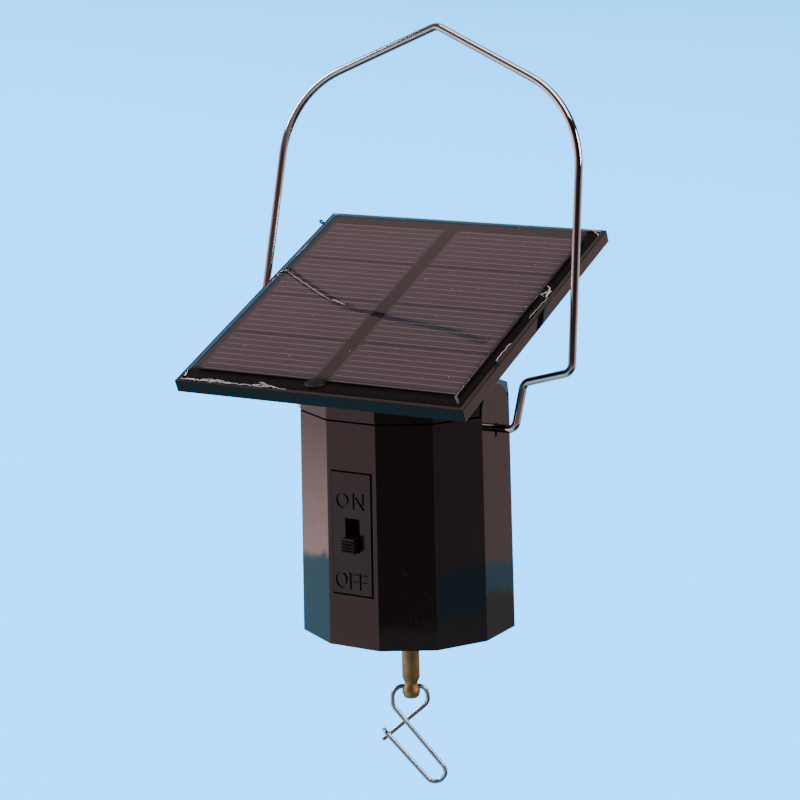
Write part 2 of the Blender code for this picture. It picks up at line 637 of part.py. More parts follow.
def make_cell(root):
    """The rechargeable cell, its holder, the plus contact and the minus spring."""
    place = (0.0, CELL_Y, 0.0)
    low = 4.3 * MM
    shoulder = 53.2 * MM
    nub = 2.7 * MM
    nub_top = shoulder + 1.2 * MM
    points = [(0, nub_top), (nub, nub_top), (nub, shoulder),
              (CELL_RADIUS - 0.6 * MM, shoulder), (CELL_RADIUS, shoulder - 0.6 * MM),
              (CELL_RADIUS, low + 0.6 * MM), (CELL_RADIUS - 0.6 * MM, low), (0, low)]
    turned(piece("battery_cell", profile("battery_cell", points), "wrap_green", root, place))
    bottom = 1.8 * MM
    top = 55.8 * MM
    end_wall = 0.7 * MM
    inner = CELL_RADIUS + 0.2 * MM
    outer = inner + 0.7 * MM
    plan = arc(outer, 0, 180, 16) + arc(4.0 * MM, 180, 360, 10)
    holder = piece("battery_holder", slab("battery_holder", [plan], bottom, top), "black_plastic", root, place)
    cut(holder, tool("cell_space", rod("cell_space", inner, bottom + end_wall, top - end_wall, 32), root, place))
    contact = block("battery_contact", (-3 * MM, -3 * MM, nub_top + 0.25 * MM), (3 * MM, 3 * MM, nub_top + 0.45 * MM))
    piece("battery_contact", contact, "bright_wire", root, place)
    turns = 2.5
    steps = 20
    spiral = []
    for count in range(steps + 1):
        share = count / steps
        angle = share * turns * FULL_TURN
        reach = (5.4 - 3.0 * share) * MM
        spiral.append((reach * math.cos(angle), reach * math.sin(angle), (2.9 + share) * MM))
    piece("battery_spring", wire("battery_spring", spiral, 0.25 * MM), "bright_wire", root, place)


def make_charge_board(root):
    """The board that charges the cell from the panel, its two parts and the motor's leads."""
    board_x = -12.0 * MM
    half = 0.6 * MM
    board = block("charge_board", (board_x - half, -11 * MM, 16.5 * MM), (board_x + half, 4 * MM, 43.5 * MM))
    piece("charge_board", board, "board_green", root)
    centre_x = board_x + half + 0.2 * MM
    for name, radius, y, low, high, finish in (
        ("board_capacitor", 2.5 * MM, -6 * MM, 20 * MM, 28 * MM, "wrap_green"),
        ("board_inductor", 3.0 * MM, -2 * MM, 32 * MM, 38 * MM, "ferrite"),
    ):
        piece(name, rod(name, radius, low, high), finish, root, (centre_x + radius, y, 0.0))
    motor = gear_places()[3]
    tab_top = MOTOR_Z + MOTOR_LENGTH + 5 * MM
    for side, finish, end_y in ((-1, "red_lead", 1.0 * MM), (1, "black_lead", -8.0 * MM)):
        start = Vector((motor.x + side * 6 * MM, motor.y, tab_top + 0.8 * MM))
        end = Vector((board_x, end_y, 43.5 * MM + 0.8 * MM))
        rise = Vector((0.0, 0.0, (3.6 + side) * MM))
        path = rounded_path([(start, 0.0), (start + rise, 2 * MM), (end + rise, 2 * MM), (end, 0.0)])
        piece(f"motor_{finish}", wire("lead", path, 0.5 * MM), finish, root)


def make_output(root):
    """Bush, washer, output shaft and gear, and the hook in the shaft's cross hole."""
    bore = SHAFT_RADIUS + 0.1 * MM
    bush = profile("shaft_bush", [(5.2 * MM, 2.7 * MM), (5.2 * MM, 1.9 * MM), (3.6 * MM, 1.9 * MM),
                                  (3.6 * MM, 0.2 * MM), (bore, 0.2 * MM), (bore, 2.7 * MM)])
    close_profile(bush)
    turned(piece("shaft_bush", bush, "brass", root))
    output = empty("output_axis", root)
    washer = slab("thrust_washer", [circle(3.6 * MM), circle(1.65 * MM, 16)], 4.35 * MM, 4.7 * MM)
    piece("thrust_washer", washer, "zinc_steel", output)
    gear("output_gear", WHEEL_TEETH, 0, 1.65 * MM, output)
    neck = 1.65 * MM
    shaft_points = [(0, 7.0 * MM), (1.5 * MM, 7.0 * MM), (1.5 * MM, 4.1 * MM), (SHAFT_RADIUS, 4.1 * MM),
                    (SHAFT_RADIUS, -15.3 * MM), (neck, -16.7 * MM), (neck + 0.1 * MM, -17.3 * MM),
                    (2.3 * MM, -18.4 * MM), (2.3 * MM, -19.2 * MM), (1.9 * MM, -20.4 * MM),
                    (1.5 * MM, -20.6 * MM), (0, -20.6 * MM)]
    shaft = turned(piece("output_shaft", profile("output_shaft", shaft_points), "brass", output))
    hook = empty("hook_axis", output, (0.0, 0.0, HOOK_Z), (0.0, 0.0, HOOK_TURN))
    cross = rod("cross_hole", HOOK_WIRE + 0.2 * MM, -5 * MM, 5 * MM, 12)
    cut(shaft, tool("cross_hole", cross, hook, turn=(0.0, math.pi / 2, 0.0)))
    aside = 0.65
    corners = (
        ((-7.6, aside, -14.4), 0.0),
        ((4.3, aside, -4.6), 2.8),
        ((3.9, 0.0, 0.0), 1.7),
        ((-4.8, 0.0, 0.0), 1.9),
        ((-4.8, -aside, -4.9), 2.8),
        ((9.0, -aside, -23.0), 2.6),
        ((5.6, 0.0, -27.2), 2.4),
        ((-6.7, -aside, -12.0), 0.7),
        ((-7.2, 1.6, -12.0), 0.0),
    )
    path = rounded_path([(Vector(place) * MM, radius * MM) for place, radius in corners], math.radians(24))
    piece("spring_hook", wire("spring_hook", path, HOOK_WIRE), "zinc_steel", hook)


def close_profile(shape):
    """Join a profile's last point to its first."""
    work = bmesh.new()
    work.from_mesh(shape)
    work.verts.ensure_lookup_table()
    work.edges.new((work.verts[-1], work.verts[0]))
    work.to_mesh(shape)
    work.free()


def make_motor_unit():
    """The whole object, hung from its origin."""
    lean = Matrix.Rotation(-BAIL_LEAN, 4, "X")
    peak = BAIL_PIVOT + lean @ Vector((0.0, 0.0, BAIL_PEAK - BAIL_WIRE))
    root = empty("housing_frame", at=-peak)
    hinge = empty("tilt_hinge", root, (0.0, 0.0, HINGE_Z))
    make_bail(root)
    make_housing_shell(root)
    make_lid(root, hinge)
    make_tilt_hinge(hinge)
    make_panel(hinge)
    make_switch(root)
    make_gearbox(root)
    make_motor(root)
    make_cell(root)
    make_charge_board(root)
    make_output(root)


make_motor_unit()
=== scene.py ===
"""Solar spinner motor, dressed from its CAD frame: bail, housing, switch, gear train, motor, cell,
output shaft, hook and tilting solar panel, in the order in which the real one goes together."""
import math
import random

import bmesh
import bpy
from mathutils import Matrix, Vector


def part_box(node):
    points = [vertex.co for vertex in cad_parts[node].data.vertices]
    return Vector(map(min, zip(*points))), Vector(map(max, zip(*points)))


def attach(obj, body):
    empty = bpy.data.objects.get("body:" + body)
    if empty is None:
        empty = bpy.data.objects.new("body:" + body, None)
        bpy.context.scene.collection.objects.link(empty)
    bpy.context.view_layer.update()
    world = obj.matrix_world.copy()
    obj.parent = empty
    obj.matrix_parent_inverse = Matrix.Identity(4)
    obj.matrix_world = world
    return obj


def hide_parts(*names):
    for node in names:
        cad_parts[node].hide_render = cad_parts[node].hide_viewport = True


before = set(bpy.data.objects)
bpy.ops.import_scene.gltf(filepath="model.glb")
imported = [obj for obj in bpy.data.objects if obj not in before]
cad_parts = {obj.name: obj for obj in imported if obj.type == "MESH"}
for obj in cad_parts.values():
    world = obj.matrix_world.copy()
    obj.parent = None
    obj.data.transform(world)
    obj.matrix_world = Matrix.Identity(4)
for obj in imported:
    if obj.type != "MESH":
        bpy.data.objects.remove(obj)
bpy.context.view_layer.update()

# ---- Bail ----
# One 2 mm spring wire, chromed, bent cold to a peaked arch with a cranked foot each side that springs
# into the housing's ears. The object hangs from the inside of its peak.
FOOT_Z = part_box("housing_shell")[0].z
AXIS_Y = (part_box("output_shaft")[0].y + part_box("output_shaft")[1].y) / 2
HOUSING = Matrix.Translation((0.0, AXIS_Y, FOOT_Z))


def add_object(name, data):
    """An object at the origin that shows some data."""
    thing = bpy.data.objects.new(name, data)
    bpy.context.scene.collection.objects.link(thing)
    return thing


def live_mesh(thing):
    """A mesh of the object as its curve or modifiers make it."""
    bpy.context.view_layer.update()
    return bpy.data.meshes.new_from_object(thing.evaluated_get(bpy.context.evaluated_depsgraph_get()))


def bent_wire(name, corners, thickness):
    """A wire through corners of (point, bend radius), with eased cut ends."""
    knots = []
    last = len(corners) - 1
    for count, (point, bend) in enumerate(corners):
        if count in (0, last):
            along = (corners[1][0] - point) if count == 0 else (point - corners[-2][0])
            along.normalize()
            ease = 0.25 * thickness
            inner = point + along * ease * (1 if count == 0 else -1)
            ends = [(point, 0.72, along), (inner, 1.0, along)]
            knots.extend(ends if count == 0 else reversed(ends))
            continue
        before = (point - corners[count - 1][0]).normalized()
        after = (corners[count + 1][0] - point).normalized()
        turn = before.angle(after)
        reach = bend * math.tan(turn / 2)
        hold = 4 / 3 * math.tan(turn / 4) * bend
        knots.append((point - before * reach, 1.0, before * hold))
        knots.append((point + after * reach, 1.0, after * hold))
    curve = bpy.data.curves.new(name, "CURVE")
    curve.dimensions = "3D"
    curve.bevel_depth = thickness / 2
    curve.bevel_resolution = 6
    curve.resolution_u = 14
    curve.use_fill_caps = True
    line = curve.splines.new("BEZIER")
    line.bezier_points.add(len(knots) - 1)
    for knot, (place, share, hold) in zip(line.bezier_points, knots):
        if hold.length > 0.5:
            hold = hold * 0.1 * thickness
        knot.handle_left_type = "FREE"
        knot.handle_right_type = "FREE"
        knot.co = place
        knot.handle_left = place - hold
        knot.handle_right = place + hold
        knot.radius = share
    holder = add_object(name, curve)
    mesh = live_mesh(holder)
    bpy.data.objects.remove(holder)
    return mesh


def new_piece(name, mesh, material, crease=35.0):
    """An object at the origin from a finished mesh, smooth up to the crease angle."""
    shape = bmesh.new()
    shape.from_mesh(mesh)
    bmesh.ops.remove_doubles(shape, verts=shape.verts, dist=1e-7)
    shape.to_mesh(mesh)
    shape.free()
    mesh.name = name
    mesh.shade_smooth()
    mesh.set_sharp_from_angle(angle=math.radians(crease))
    mesh.materials.clear()
    mesh.materials.append(material)
    return add_object(name, mesh)


def plated(name, colour, roughness, streak):
    """Bright plating: drawing lines along one axis, finger smudges and a few dull pits."""
    material = bpy.data.materials.new(name)
    material.use_nodes = True
    nodes = material.node_tree.nodes
    links = material.node_tree.links
    nodes.clear()
    place = nodes.new("ShaderNodeTexCoord")
    place.label = "Place on the metal"
    stretch = nodes.new("ShaderNodeMapping")
    stretch.label = "Draw the lines out"
    stretch.inputs["Scale"].default_value = streak
    lines = nodes.new("ShaderNodeTexNoise")
    lines.label = "Drawing lines"
    lines.inputs["Scale"].default_value = 900.0
    lines.inputs["Detail"].default_value = 3.0
    smudge = nodes.new("ShaderNodeTexNoise")
    smudge.label = "Finger smudges"
    smudge.inputs["Scale"].default_value = 130.0
    smudge.inputs["Detail"].default_value = 4.0
    gloss = nodes.new("ShaderNodeMapRange")
    gloss.label = "Smudges dull the shine"
    gloss.inputs["From Min"].default_value = 0.45
    gloss.inputs["From Max"].default_value = 0.75
    gloss.inputs["To Min"].default_value = roughness
    gloss.inputs["To Max"].default_value = roughness + 0.12
    tint = nodes.new("ShaderNodeMix")
    tint.label = "Darker where it is dull"
    tint.data_type = "RGBA"
    tint.inputs[6].default_value = (*colour, 1.0)
    tint.inputs[7].default_value = (colour[0] * 0.72, colour[1] * 0.70, colour[2] * 0.68, 1.0)
    share = nodes.new("ShaderNodeMapRange")
    share.label = "How much is dull"
    share.inputs["From Min"].default_value = 0.5
    share.inputs["From Max"].default_value = 0.8
    relief = nodes.new("ShaderNodeBump")
    relief.label = "Line relief"
    relief.inputs["Strength"].default_value = 0.5
    relief.inputs["Distance"].default_value = 0.000004
    metal = nodes.new("ShaderNodeBsdfPrincipled")
    metal.label = "Plated metal"
    metal.inputs["Metallic"].default_value = 1.0
    output = nodes.new("ShaderNodeOutputMaterial")
    links.new(place.outputs["Object"], stretch.inputs["Vector"])
    links.new(stretch.outputs["Vector"], lines.inputs["Vector"])
    links.new(place.outputs["Object"], smudge.inputs["Vector"])
    links.new(smudge.outputs["Fac"], gloss.inputs["Value"])
    links.new(smudge.outputs["Fac"], share.inputs["Value"])
    links.new(share.outputs["Result"], tint.inputs["Factor"])
    links.new(tint.outputs[2], metal.inputs["Base Color"])
    links.new(gloss.outputs["Result"], metal.inputs["Roughness"])
    links.new(lines.outputs["Fac"], relief.inputs["Height"])
    links.new(relief.outputs["Normal"], metal.inputs["Normal"])
    links.new(metal.outputs["BSDF"], output.inputs["Surface"])
    for effect, members in (
        ("Shine", (smudge, gloss, share, tint)),
        ("Drawn surface", (stretch, lines, relief)),
    ):
        group = nodes.new("NodeFrame")
        group.label = effect
        for node in members:
            node.parent = group
    for step, node in enumerate((place, stretch, lines, relief, smudge, gloss, share, tint, metal, output)):
        node.location = (230 * (step % 5), -300 * (step // 5))
    return material


chrome = plated("bail_chrome", (0.94, 0.90, 0.89), 0.035, (1.0, 1.0, 0.05))
BAIL_PIVOT = Vector((0.0, -0.0001, 0.0522))
BAIL_LEAN = math.radians(11.4)
BAIL_WIRE = 0.002
BAIL_HALF = ((0.0209, 0.0, 0.0), (0.0311, 0.0, 0.0022), (0.0324, 0.0116, 0.0022), (0.0451, 0.0152, 0.0026),
             (0.04154, 0.07925, 0.025))
bail_place = HOUSING @ Matrix.Translation(BAIL_PIVOT) @ Matrix.Rotation(-BAIL_LEAN, 4, "X")
left = [(Vector((-x, 0.0, z)), bend) for x, z, bend in BAIL_HALF]
right = [(Vector((x, 0.0, z)), bend) for x, z, bend in reversed(BAIL_HALF)]
peak = (Vector((0.0, 0.0, 0.09735)), 0.003)
bail_mesh = bent_wire("bail", [*left, peak, *right], BAIL_WIRE)
bail_mesh.transform(bail_place)
bail = new_piece("bail", bail_mesh, chrome)
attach(bail, "bail")
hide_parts("bail_wire")

# ---- Housing shell ----
# A twelve-sided cup moulded in glossy black plastic, drafted towards the lid, with a raised ear each
# side, a sunk recess for the switch plate, and screw posts inside. It keeps faint flow lines and dust.


def eased_copy(node, name, material, width, segments=3):
    """A copy of a CAD node with flat faces made whole and its edges eased."""
    mesh = bpy.data.meshes.new(name)
    shape = bmesh.new()
    shape.from_mesh(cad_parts[node].data)
    for layer in list(shape.loops.layers.uv):
        shape.loops.layers.uv.remove(layer)
    bmesh.ops.remove_doubles(shape, verts=shape.verts, dist=1e-6)
    bmesh.ops.dissolve_limit(shape, angle_limit=math.radians(0.4), verts=shape.verts, edges=shape.edges)
    shape.to_mesh(mesh)
    shape.free()
    for extra in [item.name for item in mesh.attributes if item.name == "custom_normal"]:
        mesh.attributes.remove(mesh.attributes[extra])
    mesh.materials.append(material)
    mesh.shade_smooth()
    thing = add_object(name, mesh)
    ease = thing.modifiers.new("eased edges", "BEVEL")
    ease.width = width
    ease.segments = segments
    ease.limit_method = "ANGLE"
    ease.angle_limit = math.radians(22)
    ease.use_clamp_overlap = True
    ease.harden_normals = True
    return thing


def moulded(name, colour, gloss, flow, dust):
    """Injection moulded plastic: slow sink waves, fine grain, scuffs and settled dust."""
    material = bpy.data.materials.new(name)
    material.use_nodes = True
    nodes = material.node_tree.nodes
    links = material.node_tree.links
    nodes.clear()
    place = nodes.new("ShaderNodeTexCoord")
    place.label = "Place on the moulding"
    pull = nodes.new("ShaderNodeMapping")
    pull.label = "Flow runs up the wall"
    pull.inputs["Scale"].default_value = (1.0, 1.0, 0.55)
    wave = nodes.new("ShaderNodeTexNoise")
    wave.label = "Sink waves"
    wave.inputs["Scale"].default_value = 150.0
    wave.inputs["Detail"].default_value = 1.5
    wave_relief = nodes.new("ShaderNodeBump")
    wave_relief.label = "Wave height"
    wave_relief.inputs["Strength"].default_value = 1.0
    wave_relief.inputs["Distance"].default_value = flow
    grain = nodes.new("ShaderNodeTexNoise")
    grain.label = "Tool grain"
    grain.inputs["Scale"].default_value = 5200.0
    grain.inputs["Detail"].default_value = 2.0
    grain_relief = nodes.new("ShaderNodeBump")
    grain_relief.label = "Grain height"
    grain_relief.inputs["Strength"].default_value = 0.4
    grain_relief.inputs["Distance"].default_value = 0.0000012
    slant = nodes.new("ShaderNodeMapping")
    slant.label = "Scuffs run one way"
    slant.inputs["Rotation"].default_value = (0.4, 0.9, 0.3)
    slant.inputs["Scale"].default_value = (1.0, 14.0, 1.4)
    scuff = nodes.new("ShaderNodeTexNoise")
    scuff.label = "Handling scuffs"
    scuff.inputs["Scale"].default_value = 160.0
    scuff.inputs["Detail"].default_value = 5.0
    scuff_gloss = nodes.new("ShaderNodeMapRange")
    scuff_gloss.label = "Scuffs are duller"
    scuff_gloss.inputs["From Min"].default_value = 0.60
    scuff_gloss.inputs["From Max"].default_value = 0.85
    scuff_gloss.inputs["To Min"].default_value = gloss
    scuff_gloss.inputs["To Max"].default_value = gloss + 0.22
    speck = nodes.new("ShaderNodeTexVoronoi")
    speck.label = "Dust specks"
    speck.inputs["Scale"].default_value = 430.0
    speck_size = nodes.new("ShaderNodeMapRange")
    speck_size.label = "Speck size"
    speck_size.inputs["From Min"].default_value = 0.075
    speck_size.inputs["From Max"].default_value = 0.045
    speck_patch = nodes.new("ShaderNodeTexNoise")
    speck_patch.label = "Where dust settles"
    speck_patch.inputs["Scale"].default_value = 75.0
    speck_patch.inputs["Detail"].default_value = 3.0
    speck_patch_edge = nodes.new("ShaderNodeMapRange")
    speck_patch_edge.label = "Dusty and clean areas"
    speck_patch_edge.inputs["From Min"].default_value = 0.48
    speck_patch_edge.inputs["From Max"].default_value = 0.62
    speck_patch_edge.inputs["To Max"].default_value = dust
    dusty = nodes.new("ShaderNodeMath")
    dusty.label = "Specks in dusty areas"
    dusty.operation = "MULTIPLY"
    tint = nodes.new("ShaderNodeMix")
    tint.label = "Plastic and dust colour"
    tint.data_type = "RGBA"
    tint.inputs[6].default_value = (*colour, 1.0)
    tint.inputs[7].default_value = (0.16, 0.145, 0.14, 1.0)
    rough = nodes.new("ShaderNodeMath")
    rough.label = "Dust is matt"
    rough.operation = "ADD"
    plastic = nodes.new("ShaderNodeBsdfPrincipled")
    plastic.label = "Moulded plastic"
    plastic.inputs["IOR"].default_value = 1.5
    output = nodes.new("ShaderNodeOutputMaterial")
    links.new(place.outputs["Object"], pull.inputs["Vector"])
    links.new(pull.outputs["Vector"], wave.inputs["Vector"])
    links.new(wave.outputs["Fac"], wave_relief.inputs["Height"])
    links.new(place.outputs["Object"], grain.inputs["Vector"])
    links.new(grain.outputs["Fac"], grain_relief.inputs["Height"])
    links.new(wave_relief.outputs["Normal"], grain_relief.inputs["Normal"])
    links.new(grain_relief.outputs["Normal"], plastic.inputs["Normal"])
    links.new(place.outputs["Object"], slant.inputs["Vector"])
    links.new(slant.outputs["Vector"], scuff.inputs["Vector"])
    links.new(scuff.outputs["Fac"], scuff_gloss.inputs["Value"])
    links.new(place.outputs["Object"], speck.inputs["Vector"])
    links.new(speck.outputs["Distance"], speck_size.inputs["Value"])
    links.new(place.outputs["Object"], speck_patch.inputs["Vector"])
    links.new(speck_patch.outputs["Fac"], speck_patch_edge.inputs["Value"])
    links.new(speck_size.outputs["Result"], dusty.inputs[0])
    links.new(speck_patch_edge.outputs["Result"], dusty.inputs[1])
    links.new(dusty.outputs["Value"], tint.inputs["Factor"])
    links.new(tint.outputs[2], plastic.inputs["Base Color"])
    links.new(scuff_gloss.outputs["Result"], rough.inputs[0])
    links.new(dusty.outputs["Value"], rough.inputs[1])
    links.new(rough.outputs["Value"], plastic.inputs["Roughness"])
    links.new(plastic.outputs["BSDF"], output.inputs["Surface"])
    for effect, members in (
        ("Moulded relief", (pull, wave, wave_relief, grain, grain_relief)),
        ("Scuffs", (slant, scuff, scuff_gloss)),
        ("Dust", (speck, speck_size, speck_patch, speck_patch_edge, dusty)),
    ):
        group = nodes.new("NodeFrame")
        group.label = effect
        for node in members:
            node.parent = group
    rows = ((place, pull, wave, wave_relief, grain, grain_relief),
            (slant, scuff, scuff_gloss, rough, plastic, output),
            (speck, speck_size, speck_patch, speck_patch_edge, dusty, tint))
    for row, members in enumerate(rows):
        for column, node in enumerate(members):
            node.location = (230 * column, -320 * row)
    return material


housing_black = moulded("housing_black", (0.0056, 0.0044, 0.0040), 0.028, 0.00003, 0.8)
shell = eased_copy("housing_shell", "housing_cup", housing_black, 0.00022)
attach(shell, "housing")
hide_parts("housing_shell")

# ---- Switch plate ----
# A thin black plate snapped into the recess round the slot, a little off centre, so a dark gap shows
# at its top, foot and right edge. ON and OFF are engraved in it with a fine round cutter.


def mesh_of(name, shape):
    """A mesh of a finished bmesh, which is freed."""
    mesh = bpy.data.meshes.new(name)
    shape.to_mesh(mesh)
    shape.free()
    return mesh


def carve(thing, cutter):
    """Cut a shape out of a piece for good."""
    knife = add_object("cutter", mesh_of("cutter", cutter))
    cut = thing.modifiers.new("cut", "BOOLEAN")
    cut.operation = "DIFFERENCE"
    cut.solver = "EXACT"
    cut.object = knife
    result = live_mesh(thing)
    thing.modifiers.remove(cut)
    thing.data = result
    bpy.data.objects.remove(knife)


def block(low, high, place=Matrix.Identity(4)):
    """A box between two corners."""
    shape = bmesh.new()
    bmesh.ops.create_cube(shape, size=1.0)
    low, high = Vector(low), Vector(high)
    spread = Matrix.Diagonal((*(high - low), 1.0))
    bmesh.ops.transform(shape, matrix=place @ Matrix.Translation((low + high) / 2) @ spread, verts=shape.verts)
    return shape


PLATE_MID = 0.02855
FACET_LEAN = math.atan(0.013 * math.cos(math.pi / 12))
FACET_OUT = (0.0273 - 0.013 * PLATE_MID) * math.cos(math.pi / 12)
plate_place = HOUSING @ Matrix.Translation((0.0, -FACET_OUT, PLATE_MID)) @ Matrix.Rotation(-FACET_LEAN, 4, "X")
ENGRAVED = 0.00045
STROKE = 0.00056
PLATE_LOW = (-0.00575, 0.00005, -0.01525)
PLATE_HIGH = (0.0052, 0.00055, 0.01525)
SHORTER_THAN_SIDES = 0.02
SLOT_LOW = (-0.00205, AXIS_Y - 0.030, FOOT_Z + 0.0239)
SLOT_HIGH = (0.00205, AXIS_Y - 0.020, FOOT_Z + 0.0324)
plate_shape = block(PLATE_LOW, PLATE_HIGH, plate_place)
edges = [edge for edge in plate_shape.edges if edge.calc_length() < SHORTER_THAN_SIDES]
bmesh.ops.bevel(plate_shape, geom=edges, affect="EDGES", offset=0.00016, segments=3, profile=0.5, material=-1)
plate_black = moulded("plate_black", (0.0110, 0.0100, 0.0098), 0.22, 0.000012, 1.0)
plate = new_piece("switch_label_plate", mesh_of("switch_label_plate", plate_shape), plate_black)
carve(plate, block(SLOT_LOW, SLOT_HIGH))


def stroke(start, end, depth):
    """One straight engraved line on the plate, between two (x, height) points."""
    start, end = Vector(start), Vector(end)
    along = end - start
    lean = math.atan2(along.x, along.y)
    middle = (start + end) / 2
    reach = along.length / 2 + STROKE / 2
    place = plate_place @ Matrix.Translation((middle.x, 0.0, middle.y - PLATE_MID))
    place = place @ Matrix.Rotation(lean, 4, "Y")
    return block((-STROKE / 2, -0.001, -reach), (STROKE / 2, depth, reach), place)


def ring(centre, half_width, half_height):
    """The engraved letter O."""
    shape = bmesh.new()
    for inset in (0.0, STROKE):
        made = bmesh.ops.create_circle(shape, segments=40, radius=1.0)
        size = Matrix.Diagonal((half_width - inset, half_height - inset, 1.0, 1.0))
        bmesh.ops.transform(shape, matrix=size, verts=made["verts"])
    bmesh.ops.bridge_loops(shape, edges=shape.edges)
    pulled = bmesh.ops.extrude_face_region(shape, geom=shape.faces[:])
    risen = [item for item in pulled["geom"] if isinstance(item, bmesh.types.BMVert)]
    bmesh.ops.translate(shape, vec=(0.0, 0.0, 0.001 + ENGRAVED), verts=risen)
    bmesh.ops.recalc_face_normals(shape, faces=shape.faces)
    place = plate_place @ Matrix.Translation((centre[0], ENGRAVED, centre[1] - PLATE_MID))
    bmesh.ops.transform(shape, matrix=place @ Matrix.Rotation(math.pi / 2, 4, "X"), verts=shape.verts)
    return shape


LETTERS = (
    ((0.00048, 0.03500), (0.00048, 0.03855)),
    ((0.00318, 0.03500), (0.00318, 0.03855)),
    ((0.00053, 0.03848), (0.00313, 0.03507)),
    ((-0.00072, 0.01490), (-0.00072, 0.01862)),
    ((-0.00080, 0.01859), (0.00120, 0.01859)),
    ((-0.00080, 0.01680), (0.00100, 0.01680)),
    ((0.00208, 0.01490), (0.00208, 0.01862)),
    ((0.00200, 0.01859), (0.00398, 0.01859)),
    ((0.00200, 0.01680), (0.00378, 0.01680)),
)
carve(plate, ring((-0.00268, 0.03677), 0.00182, 0.00196))
carve(plate, ring((-0.00330, 0.01678), 0.00176, 0.00206))
for count, (start, end) in enumerate(LETTERS):
    carve(plate, stroke(start, end, ENGRAVED - count * 0.000003))
plate.data.shade_smooth()
plate.data.set_sharp_from_angle(angle=math.radians(12))
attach(plate, "housing")
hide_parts("switch_plate")

# ---- Slide switch and knob ----
# A stock slide switch pressed in behind the slot: dull brown phenolic body, and a black moulded knob
# with four finger ridges, standing at OFF.
switch_brown = moulded("switch_brown", (0.170, 0.135, 0.120), 0.35, 0.000006, 0.3)
knob_black = moulded("knob_black", (0.012, 0.010, 0.009), 0.28, 0.000004, 0.9)


def dress(finish, *names):
    """Give CAD nodes that are shown as they are a finish of their own."""
    for name in names:
        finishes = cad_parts[name].data.materials
        finishes.clear()
        finishes.append(finish)


dress(switch_brown, "switch_body")
knob = eased_copy("switch_knob", "ridged_knob", knob_black, 0.00007, 2)
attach(knob, "knob")
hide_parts("switch_knob")

# ---- Gearbox plates, pillars, screws and arbors ----
# Two stamped zinc-plated steel plates held apart by turned pillars and three screws, with two thin
# arbors between them for the compound gears. Stamped faces show a fine one-way grain.


def worked_metal(name, colour, roughness, grain, depth, tarnish):
    """Stamped, turned or drawn metal: tool lines across a chosen axis, patches of tarnish and wear."""
    material = bpy.data.materials.new(name)
    material.use_nodes = True
    nodes = material.node_tree.nodes
    links = material.node_tree.links
    nodes.clear()
    place = nodes.new("ShaderNodeTexCoord")
    place.label = "Place on the metal"
    stretch = nodes.new("ShaderNodeMapping")
    stretch.label = "Direction of the tool"
    stretch.inputs["Location"].default_value = (0.0, -AXIS_Y * grain[1], 0.0)
    stretch.inputs["Scale"].default_value = grain
    lines = nodes.new("ShaderNodeTexNoise")
    lines.label = "Tool lines"
    lines.inputs["Scale"].default_value = 420.0
    lines.inputs["Detail"].default_value = 4.0
    lines.inputs["Roughness"].default_value = 0.6
    relief = nodes.new("ShaderNodeBump")
    relief.label = "Depth of the lines"
    relief.inputs["Strength"].default_value = 0.8
    relief.inputs["Distance"].default_value = depth
    patch = nodes.new("ShaderNodeTexNoise")
    patch.label = "Tarnish patches"
    patch.inputs["Scale"].default_value = 340.0
    patch.inputs["Detail"].default_value = 6.0
    patch_edge = nodes.new("ShaderNodeMapRange")
    patch_edge.label = "How far tarnish goes"
    patch_edge.inputs["From Min"].default_value = 0.40
    patch_edge.inputs["From Max"].default_value = 0.72
    patch_edge.inputs["To Max"].default_value = tarnish
    line_shade = nodes.new("ShaderNodeMath")
    line_shade.label = "Lines hold dirt"
    line_shade.operation = "MULTIPLY_ADD"
    line_shade.inputs[1].default_value = 0.45
    tint = nodes.new("ShaderNodeMix")
    tint.label = "Clean and tarnished"
    tint.data_type = "RGBA"
    tint.inputs[6].default_value = (*colour, 1.0)
    tint.inputs[7].default_value = (colour[0] * 0.45, colour[1] * 0.42, colour[2] * 0.38, 1.0)
    rough = nodes.new("ShaderNodeMapRange")
    rough.label = "Lines scatter light"
    rough.inputs["To Min"].default_value = roughness - 0.06
    rough.inputs["To Max"].default_value = roughness + 0.14
    metal = nodes.new("ShaderNodeBsdfPrincipled")
    metal.label = "Worked metal"
    metal.inputs["Metallic"].default_value = 1.0
    output = nodes.new("ShaderNodeOutputMaterial")
    links.new(place.outputs["Object"], stretch.inputs["Vector"])
    links.new(stretch.outputs["Vector"], lines.inputs["Vector"])
    links.new(lines.outputs["Fac"], relief.inputs["Height"])
    links.new(lines.outputs["Fac"], rough.inputs["Value"])
    links.new(lines.outputs["Fac"], line_shade.inputs[0])
    links.new(place.outputs["Object"], patch.inputs["Vector"])
    links.new(patch.outputs["Fac"], patch_edge.inputs["Value"])
    links.new(patch_edge.outputs["Result"], line_shade.inputs[2])
    links.new(line_shade.outputs["Value"], tint.inputs["Factor"])
    links.new(tint.outputs[2], metal.inputs["Base Color"])
    links.new(rough.outputs["Result"], metal.inputs["Roughness"])
    links.new(relief.outputs["Normal"], metal.inputs["Normal"])
    links.new(metal.outputs["BSDF"], output.inputs["Surface"])
    for effect, members in (
        ("Tool lines", (stretch, lines, relief, rough)),
        ("Tarnish", (patch, patch_edge, line_shade, tint)),
    ):
        group = nodes.new("NodeFrame")
        group.label = effect
        for node in members:
            node.parent = group
    order = (place, stretch, lines, relief, rough, patch, patch_edge, line_shade, tint, metal, output)
    for step, node in enumerate(order):
        node.location = (230 * (step % 6), -320 * (step // 6))
    return material


